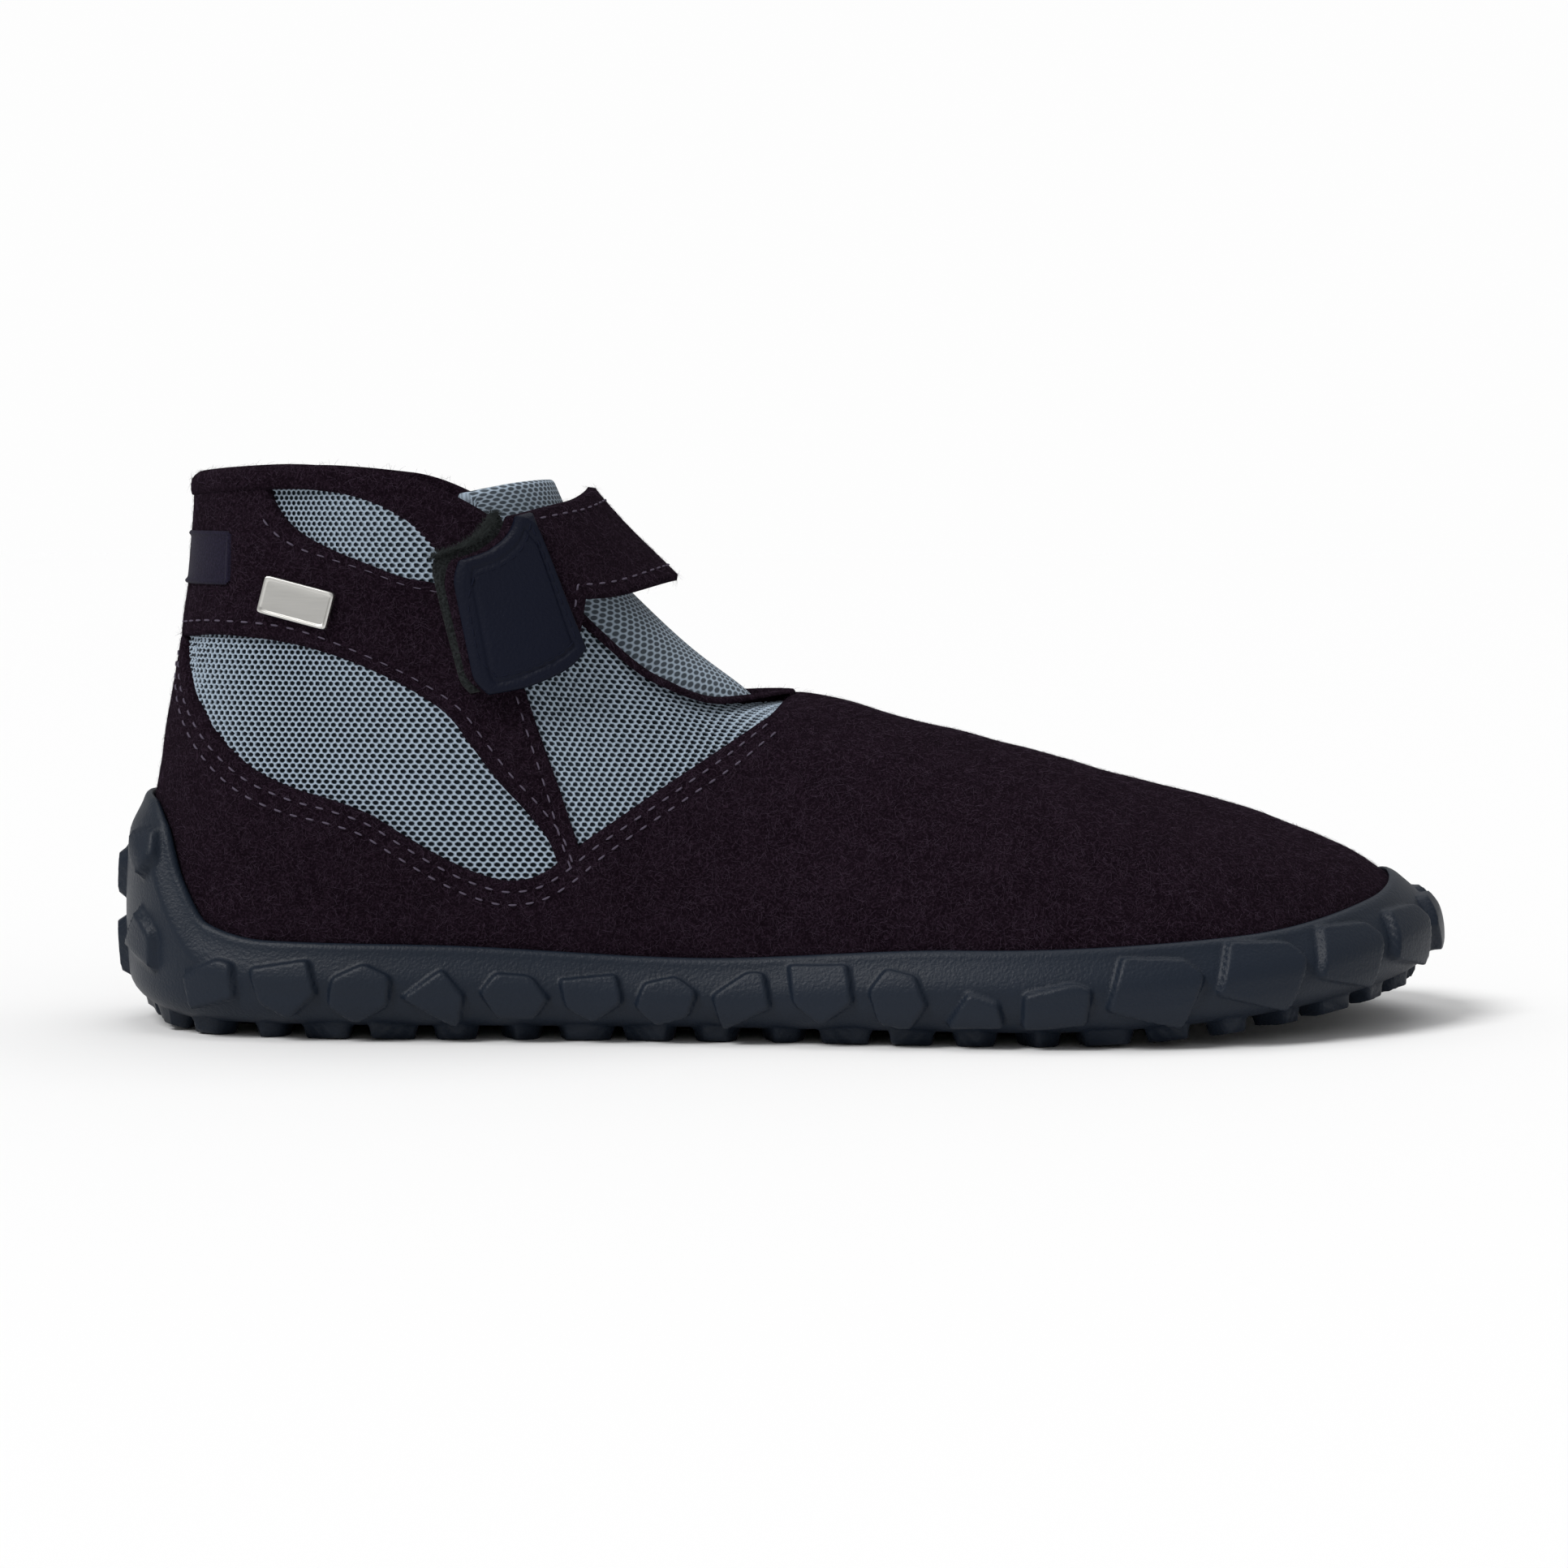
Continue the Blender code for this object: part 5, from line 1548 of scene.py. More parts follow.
@dataclass
class Upper:
    """Felt pieces, mesh windows, lining and binding of the upper."""

    shop: Workshop
    finishes: Finishes
    felt_round: float = 0.0011
    felt_rim: float = 0.0017
    lump_height: float = 0.00011
    heel_overlap: float = 0.0009
    under_rubber: float = 0.003
    ridge_blend: float = 0.012
    tab_top: float = 0.985
    collar_end: float = 0.36
    collar_top: float = 0.99
    # Binding. Columns: rise, lift on the wall's face, share of the wall's thickness inwards.
    binding: tuple[tuple[float, float, float], ...] = (
        (0.966, 0.0, 0.0),
        (0.968, 0.00028, 0.0),
        (0.975, 0.00042, 0.0),
        (0.986, 0.00045, 0.0),
        (0.996, 0.00030, 0.0),
        (1.004, -0.00015, 0.0),
        (1.010, -0.0008, 0.0),
        (1.012, 0.0, 0.5),
        (1.010, 0.0008, 1.0),
        (1.004, 0.00015, 1.0),
        (0.994, -0.0003, 1.0),
        (0.975, -0.0004, 1.0),
        (0.955, -0.0003, 1.0),
        (0.952, 0.0, 1.0),
    )

    def level_edge(self, share: Array, height: Array | float, side: Side) -> Array:
        """Edge at given heights.

        Args:
            share: Shares of the way from heel to toe.
            height: Heights above the floor.
            side: Side of the foot.

        Returns:
            Share and rise of each point.
        """
        return np.stack([share, self.shop.last.rise_at_height(Last.walk_of(share, side), height)], axis=1)

    def edge_places(self, knots: Sequence[tuple[float, float]], count: int, side: Side) -> Array:
        """Share and rise along a felt edge given as seen from the side: a curve over the chord length.

        Args:
            knots: Points of the edge, in millimetres.
            count: Number of places.
            side: Side of the foot.

        Returns:
            Share and rise of each place.
        """
        points = np.array(knots) * MILLIMETRE
        along = path_length(points)
        at = np.linspace(0, along[-1], count)
        x, z = (hermite(along, line, np.gradient(line, along), at) for line in points.T)
        walk, rise = self.shop.last.side_place(x, z, side)
        return np.stack([Last.walk_of(walk, side), rise], axis=1)

    def panel(
        self,
        name: str,
        low: Array,
        high: Array,
        side: Side,
        rows: int,
        low_edge: Array | float,
        high_edge: Array | float,
        lift: float = 0.0,
    ) -> Piece:
        """Felt piece between two edges, ruled from one to the other and rounded over at both.

        Args:
            name: Name of the piece.
            low: Share and rise along the lower edge.
            high: Share and rise along the upper edge.
            side: Side of the foot.
            rows: Rows between the edges.
            low_edge: 1 where the lower edge is a cut edge, 0 where it runs on out of sight.
            high_edge: The same for the upper edge.
            lift: Extra lift of the whole piece.

        Returns:
            The new object.
        """
        last = self.shop.last
        ease = np.linspace(0, 1, rows)
        t = (0.5 - 0.5 * np.cos(math.pi * ease)) * 0.55 + ease * 0.45
        place = low[None] + (high - low)[None] * t[:, None, None]
        walk = Last.walk_of(place[..., 0], side)
        flat = last.upper_point(walk, place[..., 1])
        to_low = np.linalg.norm(flat - flat[:1], axis=-1)
        to_high = np.linalg.norm(flat - flat[-1:], axis=-1)
        drop = self.round_over(to_low) * low_edge + self.round_over(to_high) * high_edge
        drop = drop - self.lumps(flat) * smoothstep(0, 0.004, np.minimum(to_low, to_high))
        points = last.upper_point(walk, place[..., 1], lift - drop)
        rims = []
        for row, edge in ((0, low_edge), (-1, high_edge)):
            tucked = lift - self.felt_rim * np.asarray(edge) - drop[row]
            rims.append(last.upper_point(walk[row], place[row, :, 1], tucked)[None])
        points = np.concatenate([rims[0], points, rims[1]])
        self.shop.felt_faces.append(cell_corners(points[1:-1], side is Side.INNER))
        return self.shop.grid(name, points, self.finishes.felt, flip=side is Side.INNER)

    def lumps(self, points: Array) -> Array:
        """Unevenness of soft felt: a few slanting waves summed, in metres off the surface."""
        x, y, z = (points[..., k] / MILLIMETRE for k in range(3))
        waves = np.sin(0.33 * x + 0.21 * z) * np.sin(0.27 * z - 0.11 * x + 0.15 * y)
        waves = waves + 0.6 * np.sin(0.62 * x - 0.35 * y + 1.3) * np.sin(0.55 * z + 0.2 * y + 0.4)
        return self.lump_height * waves

    def round_over(self, distance: Array) -> Array:
        """Drop of the felt near a cut edge: a quarter circle of the felt's rounding."""
        inside = np.clip(1 - distance / self.felt_round, 0, 1)
        return self.felt_round * 0.62 * (1 - np.sqrt(1 - inside * inside))

    def foot_piece(self, side: Side) -> Piece:
        """Quarter and vamp in one: from the rubber up to the heel seam, window, notch and ridge."""
        last = self.shop.last
        s = last.sizes
        edge = self.edge_places(FOOT_EDGE, 220, side)
        back_share = np.linspace(0, edge[0, 0], 20)[:-1]
        back = self.level_edge(back_share, s.heel_seam_height + self.heel_overlap, side)
        back[:, 1] += (edge[0, 1] - back[-1, 1]) * np.linspace(0, 1, len(back)) ** 3
        front_share = np.linspace(edge[-1, 0], 1.0, 150)[1:]
        closed = s.throat_walk + self.ridge_blend
        blend = smoothstep(edge[-1, 0], closed, front_share)
        front = np.stack([front_share, edge[-1, 1] + (1 - edge[-1, 1]) * blend**0.9], axis=1)
        high = np.concatenate([back, edge, front])
        high_edge = 1 - smoothstep(s.throat_walk - 0.004, closed, high[:, 0])
        low_share = spread(high[:, 0], 22)
        height = last.rubber_top(Last.walk_of(low_share, side)) - self.under_rubber
        low = self.level_edge(low_share, height, side)
        return self.panel(f"felt_foot_{side.name.lower()}", low, high, side, 46, 0.0, high_edge)

    def band_piece(self, side: Side) -> Piece:
        """Heel tab, band and front strip: between the two windows, round to the notch."""
        count, back, eased = 230, 45, 6
        low = self.edge_places(BAND_LOWER_EDGE, count, side)
        high = self.edge_places(BAND_UPPER_EDGE, count, side)
        low_share, high_share = (np.linspace(0, edge[0, 0], back)[:-1] for edge in (low, high))
        low_back = self.level_edge(low_share, self.shop.last.sizes.heel_seam_height, side)
        high_back = np.stack([high_share, np.full(back - 1, self.tab_top)], axis=1)
        high_back[-eased:, 1] += (high[0, 1] - self.tab_top) * np.linspace(0, 1, eased) ** 2
        low, high = np.concatenate([low_back, low]), np.concatenate([high_back, high])
        edge = smoothstep(0.0, 0.004, high[:, 0] - high[back - 1, 0] + 0.003)
        return self.panel(f"felt_band_{side.name.lower()}", low, high, side, 34, 1.0, edge)

    def collar_piece(self, side: Side) -> Piece:
        """Narrow felt strip between the upper window and the collar's edge."""
        count = 120
        low = self.edge_places(COLLAR_STRIP_EDGE, count, side)
        share = np.linspace(low[0, 0], self.collar_end, count)
        high = np.stack([share, np.full(count, self.collar_top)], axis=1)
        return self.panel(f"felt_collar_{side.name.lower()}", low, high, side, 16, 1.0, 0.0, 0.0001)

    def mesh_piece(
        self, name: str, side: Side, walk: Array, rise: Array, height: Array, fold: Array | float = 0.0
    ) -> None:
        """Air mesh under a window, sunk at its holes.

        Args:
            name: Name of the piece.
            side: Side of the foot.
            walk: Walks of its grid.
            rise: Rises of its grid.
            height: Ways up by which its rows of holes are counted.
            fold: Extra lift of its folds.
        """
        last = self.shop.last
        cells = WEAVE.cells(Last.walk_of(walk, side) * last.way[0], height)
        lift = fold - last.sizes.window_depth - WEAVE.depth * WEAVE.holes(cells)
        points = last.upper_point(walk, rise, lift)
        # Window mesh: full painted shade in its holes.
        hole_shade_share = {"hole_shade_share": np.ones(lift.shape)}
        inner = side is Side.INNER
        piece = self.shop.grid(name, points, self.finishes.air_mesh, uv=cells, values=hole_shade_share, flip=inner)

    def mesh_sheet(
        self, name: str, table: Sequence[tuple[float, float, float]], side: Side, columns: int, rows: int
    ) -> None:
        """Air mesh of a window, ruled between a lowest and a highest height.

        Args:
            name: Name of the piece.
            table: Lengths with lowest and highest heights, in millimetres.
            side: Side of the foot.
            columns: Columns of the grid.
            rows: Rows of the grid.
        """
        x = np.linspace(table[0][0], table[-1][0], columns)[None, :]
        low, high = table_curve(table, 1, x), table_curve(table, 2, x)
        z = low + (high - low) * np.linspace(0, 1, rows)[:, None]
        walk, rise = self.shop.last.side_place(x * MILLIMETRE + 0 * z, z * MILLIMETRE, side)
        self.mesh_piece(name, side, walk, rise, z * MILLIMETRE, self.wrinkle(x, z))

    def notch_sheet(self, name: str, side: Side, columns: int, rows: int) -> None:
        """Air mesh in the notch between quarter and vamp, up to the throat's edge.

        Args:
            name: Name of the piece.
            side: Side of the foot.
            columns: Columns of the grid.
            rows: Rows of the grid.
        """
        last = self.shop.last
        x = np.linspace(NOTCH_SHEET[0][0], NOTCH_SHEET[-1][0], columns)
        walk, low = last.side_place(x * MILLIMETRE, table_curve(NOTCH_SHEET, 1, x) * MILLIMETRE, side)
        rise = low + (1.0 - low) * np.linspace(0, 1, rows)[:, None]
        walk = walk + 0 * rise
        self.mesh_piece(name, side, walk, rise, climb(last.upper_point(walk, rise)))

    @staticmethod
    def wrinkle(x: Array, z: Array) -> Array:
        """Soft slanting folds of the lower window's mesh.

        Args:
            x: Millimetres from the heel.
            z: Millimetres above the floor.

        Returns:
            Lift off the mesh's surface, in metres.
        """
        middle_x, middle_z = FOLD_MIDDLE
        run, rise = FOLD_WAY
        across = (x - middle_x) * rise + (z - middle_z) * run
        along = (x - middle_x) * run - (z - middle_z) * rise
        folds = sum(height * np.exp(-(((across - place) / width) ** 2)) for place, width, height in FOLDS)
        return FOLD_LIFT * folds * np.exp(-((along / FOLD_LENGTH) ** 2))

    def lining_piece(self) -> Piece:
        """Inside of the upper, on the wall's inner face."""
        last = self.shop.last
        walks = np.linspace(0, 2, 200, endpoint=False)
        rises = np.linspace(0.0, 1.0, 36)[:, None]
        points = last.upper_point(walks[None, :], rises, -last.sizes.wall)
        return self.shop.grid("lining", points, self.finishes.lining, closed=True, flip=True)

    def binding_piece(self) -> Piece:
        """Felt binding carried round the collar and throat: an arch over the wall's top edge."""
        last = self.shop.last
        end = last.sizes.throat_walk - 0.001
        half = np.concatenate([np.linspace(0, 0.30, 120), np.linspace(0.30, end, 130)[1:]])
        walks = np.concatenate([half, (2 - half[::-1])[:-1]])
        rise, lift, inwards = (column[:, None] for column in np.array(self.binding).T)
        points = last.upper_point(walks[None, :], rise, lift - inwards * last.sizes.wall)
        self.shop.felt_faces.append(cell_corners(points[2:8]))
        return self.shop.grid("collar_binding", points, self.finishes.felt, closed=True)

    def build(self) -> None:
        """Builds every piece of the upper."""
        for side in Side:
            self.foot_piece(side)
            self.band_piece(side)
            self.collar_piece(side)
            tag = side.name.lower()
            self.mesh_sheet(f"mesh_lower_{tag}", LOWER_SHEET, side, 260, 158)
            self.mesh_sheet(f"mesh_upper_{tag}", UPPER_SHEET, side, 150, 62)
            self.notch_sheet(f"mesh_gusset_{tag}", side, 170, 106)
        self.binding_piece()
        lining = self.lining_piece()
        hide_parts("upper")


def spread(values: Array, reach: int) -> Array:
    """Values averaged over their neighbours and kept rising from the first to the last.

    Args:
        values: Rising values.
        reach: Neighbours on either side.

    Returns:
        The smoother values.
    """
    kernel = np.hanning(2 * reach + 3)[1:-1]
    before = 2 * values[0] - values[reach:0:-1]
    after = 2 * values[-1] - values[-2 : -reach - 2 : -1]
    smooth = np.convolve(np.concatenate([before, values, after]), kernel / kernel.sum(), mode="valid")
    smooth = np.maximum.accumulate(smooth)
    return values[0] + (smooth - smooth[0]) * (values[-1] - values[0]) / (smooth[-1] - smooth[0])


@dataclass
class Inside:
    """Insole and tongue."""

    shop: Workshop
    finishes: Finishes
    insole_thickness: float = 0.0025
    tongue_clearance: float = 0.0015
    tongue_thickness: float = 0.0024
    tongue_rise: float = 0.0100
    tongue_from: float = 0.60
    tongue_to: float = 0.345
    tongue_past: float = 0.3
    tongue_end: float = 1.26
    tongue_lean: tuple[float, float, float] = (-0.40, 0.0, 0.92)
    # Share of the painted shade in the tongue's holes.
    tongue_hole_shade: float = 0.72
    wall_way: float = 0.062
    tongue_spread: tuple[tuple[float, ...], tuple[float, ...]] = (
        (0.0, 0.2, 0.4, 0.6, 1.0, 1.3),
        (0.010, 0.015, 0.020, 0.024, 0.0245, 0.0225),
    )

    def insole(self) -> None:
        """Top of the footbed, with its edge rolled down at the wall."""
        last = self.shop.last
        s = last.sizes
        walks = np.linspace(0, 2, 240, endpoint=False)
        height = s.sole_floor + s.gap + self.insole_thickness
        inside = -(s.wall + s.gap)
        floor = last.spring(last.plan_point(walks)[..., 0]) + height
        ring = last.upper_point(walks, last.rise_at_height(walks, floor, inside), inside)
        spine = last.spine_point(walks, height)
        rolled = ((0.0, 0.0022), (0.0, 0.0006), (0.02, 0.0001))
        flat = ((share, 0.0) for share in np.linspace(0.06, 1, 26))
        rows = []
        for share, drop in (*rolled, *flat):
            row = ring + (spine - ring) * share
            row[:, 2] = last.spring(row[:, 0]) + height - drop
            rows.append(row)
        piece = self.shop.grid("footbed", np.array(rows), self.finishes.footbed, closed=True)
        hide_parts("insole")

    def tongue_point(self, along: Array, across: Array, lift: Array | float) -> Array:
        """Point of the tongue: 0 under the vamp to 1 at the collar, then up past it; across -1 to 1.

        Args:
            along: Way up the tongue.
            across: Way from side to side.
            lift: Distance off its face.

        Returns:
            Points in the last's frame.
        """
        last = self.shop.last
        share = self.tongue_from + (self.tongue_to - self.tongue_from) * np.clip(along, 0, 1)
        half_gap = np.abs(last.top_edge(share)[..., 1] - last.ridge_line(share))
        reach = np.abs(across) * np.interp(along, *self.tongue_spread)
        shut = half_gap < 1e-6
        inside = np.where(shut, 1.0, np.clip(reach / np.where(shut, 1.0, half_gap), 0, 1))
        over = np.clip(reach - half_gap, 0, None) / self.wall_way
        under = np.asarray(lift) - last.sizes.wall - self.tongue_clearance
        point = last.opening_point(share, np.sign(across) * (inside + over), under)
        rounded = 1 - 0.35 * np.abs(across) ** 3
        past = np.clip(along - 1, 0, 1) * rounded * self.tongue_rise / self.tongue_past
        return point + past[..., None] * np.array(self.tongue_lean)

    def tongue(self) -> None:
        """Mesh tongue: both faces in one grid that wraps round its sides, with a rounded upper end.

        The depth goes from 0 on the face to 1 underneath. At the upper end it closes on its middle
        along a quarter circle, and at the hidden end in one row.
        """
        count, end = 70, self.tongue_end
        flat = np.linspace(-1, 1, count)
        turn = np.linspace(0, math.pi, 8)[1:-1]
        beyond = 1 + 0.02 * np.sin(turn)
        across = np.concatenate([flat, beyond, flat[::-1], -beyond])
        depth = np.concatenate([np.zeros(count), turn / math.pi, np.ones(count), 1 - turn / math.pi])
        nose = np.linspace(0, math.pi / 2, 6)[1:]
        body = np.concatenate([np.linspace(0, 1, 100), np.linspace(1, end, 26)[1:]])
        up = np.concatenate([[0.0], body, end + 0.036 * np.sin(nose)])
        thick = np.concatenate([[0.0], np.ones(len(body)), np.cos(nose)])
        along, across = np.meshgrid(up, across, indexing="ij")
        depth = 0.5 + (depth - 0.5) * thick[:, None]
        points = self.tongue_point(along, across, -depth * self.tongue_thickness)
        cells = WEAVE.cells(points[..., 1], climb(points)[:, count // 2, None] + 0 * across)
        # The tongue's holes get only part of the painted shade.
        hole_shade_share = {"hole_shade_share": np.full(points.shape[:2], self.tongue_hole_shade)}
        finish = self.finishes.air_mesh
        piece = self.shop.grid("mesh_tongue", points, finish, closed=True, uv=cells, values=hole_shade_share)
        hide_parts("tongue")

    def build(self) -> None:
        """Builds both."""
        self.insole()
        self.tongue()


def stitch_row(
    shop: Workshop,
    name: str,
    path: Array,
    normal: Array,
    material: Material,
    pitch: float = 0.0024,
    length: float = 0.0012,
    thick: float = 0.00015,
) -> Piece:
    """Row of stitches along a path, each a small bent spindle half sunk in the cloth.

    Args:
        shop: What pieces are made with.
        name: Name of the piece.
        path: Points of the seam in the last's frame.
        normal: Directions off the cloth at those points.
        material: Thread.
        pitch: Distance from stitch to stitch.
        length: Length of one stitch.
        thick: Half its thickness.

    Returns:
        The new object.
    """
    along = path_length(path)
    middles = np.arange(pitch / 2, along[-1], pitch)
    rings, sides = 7, 6
    share = np.linspace(-0.5, 0.5, rings)
    at = np.clip(middles[:, None] + share[None, :] * length, 0, along[-1])
    centre = read_columns(at, along, path)
    up = unit(read_columns(at, along, normal))
    sideways = np.cross(unit(centre[:, -1:] - centre[:, :1]) + 0 * centre, up)
    swell = np.sqrt(np.clip(1 - (2 * share) ** 4, 0, 1))
    centre = centre + up * (thick * (1.1 * swell - 0.9))[None, :, None]
    turn = np.linspace(0, 2 * math.pi, sides + 1)[:-1]
    ring = np.cos(turn)[:, None] * sideways[..., None, :] + np.sin(turn)[:, None] * up[..., None, :]
    points = centre[..., None, :] + ring * (thick * (0.25 + 0.75 * swell))[None, :, None, None]
    one = grid_faces(rings, sides, closed=True)
    faces = one[None] + (np.arange(len(middles)) * rings * sides)[:, None, None]
    return shop.piece(name, points, faces, material)


@dataclass
class Closure:
    """Strap, its hook pad and the moulded tip."""

    shop: Workshop
    finishes: Finishes
    clearance: float = 0.0008
    strap_thickness: float = 0.0014
    pad_thickness: float = 0.0013
    tip_thickness: float = 0.0014
    tip_share: float = 0.27
    chamfer: float = 0.045
    chamfer_width: float = 0.18
    groove_inset: float = 0.0021
    groove_width: float = 0.00035

    def surface(self, along: Array, over: Array, lift: Array | float) -> Array:
        """Surface under the strap.

        Args:
            along: Share from tip to seam.
            over: Share from the rear edge to the front one.
            lift: Distance off the surface.

        Returns:
            Points in the last's frame.
        """
        knots = np.linspace(0, 1, len(STRAP))
        columns = [monotone_curve(knots, np.array([row[k] for row in STRAP]), along) for k in range(4)]
        walk = columns[0] + (columns[2] - columns[0]) * over
        across = columns[1] + (columns[3] - columns[1]) * over
        return self.shop.last.opening_point(walk, across, lift)

    def drop(self, along: Array) -> Array:
        """How far the strap comes down onto the upper past the hook pad."""
        settled = np.clip((along - self.tip_share) / 0.12, 0, 1)
        return (self.pad_thickness + self.shop.last.sizes.gap) * settled

    def pillow(
        self,
        name: str,
        along: Array,
        over: Array,
        low: float,
        high: float,
        material: Material,
        settle: bool,
        groove: float = 0.0,
    ) -> Piece:
        """Slab on the strap's surface with rounded rims, chamfered corners and an optional groove.

        Args:
            name: Name of the piece.
            along: Shares along the strap.
            over: Shares across it.
            low: Lift of its underside.
            high: Lift of its top.
            material: Finish.
            settle: Whether it comes down past the hook pad.
            groove: Depth of the groove inside its rim.

        Returns:
            The new object.
        """
        a, b = np.meshgrid(along, over, indexing="ij")
        near = np.clip(1 - np.minimum(b - over[0], over[-1] - b) / self.chamfer_width, 0, 1)
        start = along[0] + self.chamfer * near
        a = start + (a - along[0]) * (along[-1] - start) / (along[-1] - along[0])
        middle = (low + high) / 2 - (self.drop(a) if settle else 0.0)
        half = (high - low) / 2
        rim = distance_to_rim(self.surface(a, b, middle))
        swell = half * np.sqrt(1 - np.clip(1 - rim / half, 0, 1) ** 2)
        cut = groove * np.exp(-(((rim - self.groove_inset) / self.groove_width) ** 2))
        above = self.surface(a, b, middle + swell - cut)
        below = self.surface(a, b, middle - swell)
        if material is self.finishes.felt:
            self.shop.felt_faces.append(cell_corners(above))
        return self.two_faces(name, above, below, material)

    def two_faces(self, name: str, above: Array, below: Array, material: Material) -> Piece:
        """Closes two faces that meet at their rims.

        Args:
            name: Name of the piece.
            above: Grid of the upper face.
            below: Grid of the lower one.
            material: Finish.

        Returns:
            The new object.
        """
        rows, columns = above.shape[:2]
        top = grid_faces(rows, columns)
        bottom = grid_faces(rows, columns, flip=True) + rows * columns
        faces = np.concatenate([top, bottom])
        points = np.concatenate([above.reshape(-1, 3), below.reshape(-1, 3)])
        if signed_volume(points, faces) < 0:
            faces = faces[:, ::-1]
        return self.shop.piece(name, points, faces, material)

    def build(self) -> None:
        """Builds strap, pad and tip."""
        s = self.shop.last.sizes
        pad_low = self.clearance
        pad_high = pad_low + self.pad_thickness
        strap_low = pad_high + s.gap
        strap_high = strap_low + self.strap_thickness
        tip_low = strap_high + s.gap
        tip_high = tip_low + self.tip_thickness
        felt, pile_finish, tip_finish = self.finishes.felt, self.finishes.pile, self.finishes.tip
        along, over = np.linspace(0.004, 1, 190), np.linspace(0, 1, 40)
        strap = self.pillow("felt_strap", along, over, strap_low, strap_high, felt, True)
        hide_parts("strap")
        self.strap_stitches(strap_high)
        along, over = np.linspace(-0.012, 0.24, 70), np.linspace(-0.03, 0.99, 50)
        pad = self.pillow("hook_and_loop", along, over, pad_low, pad_high, pile_finish, False)
        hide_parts("hook_pad")
        along, over = np.meshgrid(np.linspace(0.0, 0.24, 60), (-0.032, -0.028), indexing="ij")
        edge = np.stack([self.surface(along[:, 0], over[:, 0], lift) for lift in (pad_low, pad_high)], axis=1)
        pile = Fuzz(self.shop, 5).grow(
            "pile_fibres", cell_corners(edge), 2600, (0.0004, 0.0011), 0.00005, 0.9, self.finishes.pile_fibre
        )
        along, over = np.linspace(0, self.tip_share, 90), np.linspace(0, 1, 96)
        tip = self.pillow("moulded_tip", along, over, tip_low, tip_high, tip_finish, False, 0.00028)
        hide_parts("strap_tip")
        self.tip_stitches(tip_high)

    def strap_stitches(self, lift: float) -> None:
        """Rows of stitches along both long edges of the strap, from the tip to its seam."""
        along = np.linspace(self.tip_share + 0.02, 0.985, 300)
        for label, over in (("rear", 0.13), ("front", 0.87)):
            across = np.full(along.shape, over)
            path = self.surface(along, across, lift + 0.00005 - self.drop(along))
            above = self.surface(along, across, lift + 0.001 - self.drop(along))
            piece = stitch_row(self.shop, f"stitches_strap_{label}", path, above - path, self.finishes.thread)

    def tip_stitches(self, lift: float) -> None:
        """Row of stitches inside the tip's groove, with its corners cut off like the tip's."""
        cut = np.array(
            (
                (0.030, 0.30),
                (0.030, 0.70),
                (0.062, 0.875),
                (0.252, 0.875),
                (0.252, 0.125),
                (0.062, 0.125),
                (0.030, 0.30),
            )
        )
        a, b = read_columns(np.linspace(0, len(cut) - 1, 400), np.arange(len(cut)), cut).T
        path = self.surface(a, b, lift - 0.00002)
        above = self.surface(a, b, lift + 0.001)
        piece = stitch_row(
            self.shop, "stitches_tip", path, above - path, self.finishes.dark_thread, 0.0017, 0.0013, 0.00013
        )


def distance_to_rim(points: Array) -> Array:
    """Distance of each grid point from the nearer of its row's and its column's ends."""
    ends = (points[:1], points[-1:], points[:, :1], points[:, -1:])
    return np.min([np.linalg.norm(points - end, axis=-1) for end in ends], axis=0)


def signed_volume(points: Array, faces: Array) -> float:
    """Six times the volume inside quads, negative where they point inwards."""
    a, b, c, d = (points[faces[:, k]] for k in range(4))
    return float((np.cross(a, b) * c).sum() + (np.cross(a, c) * d).sum())


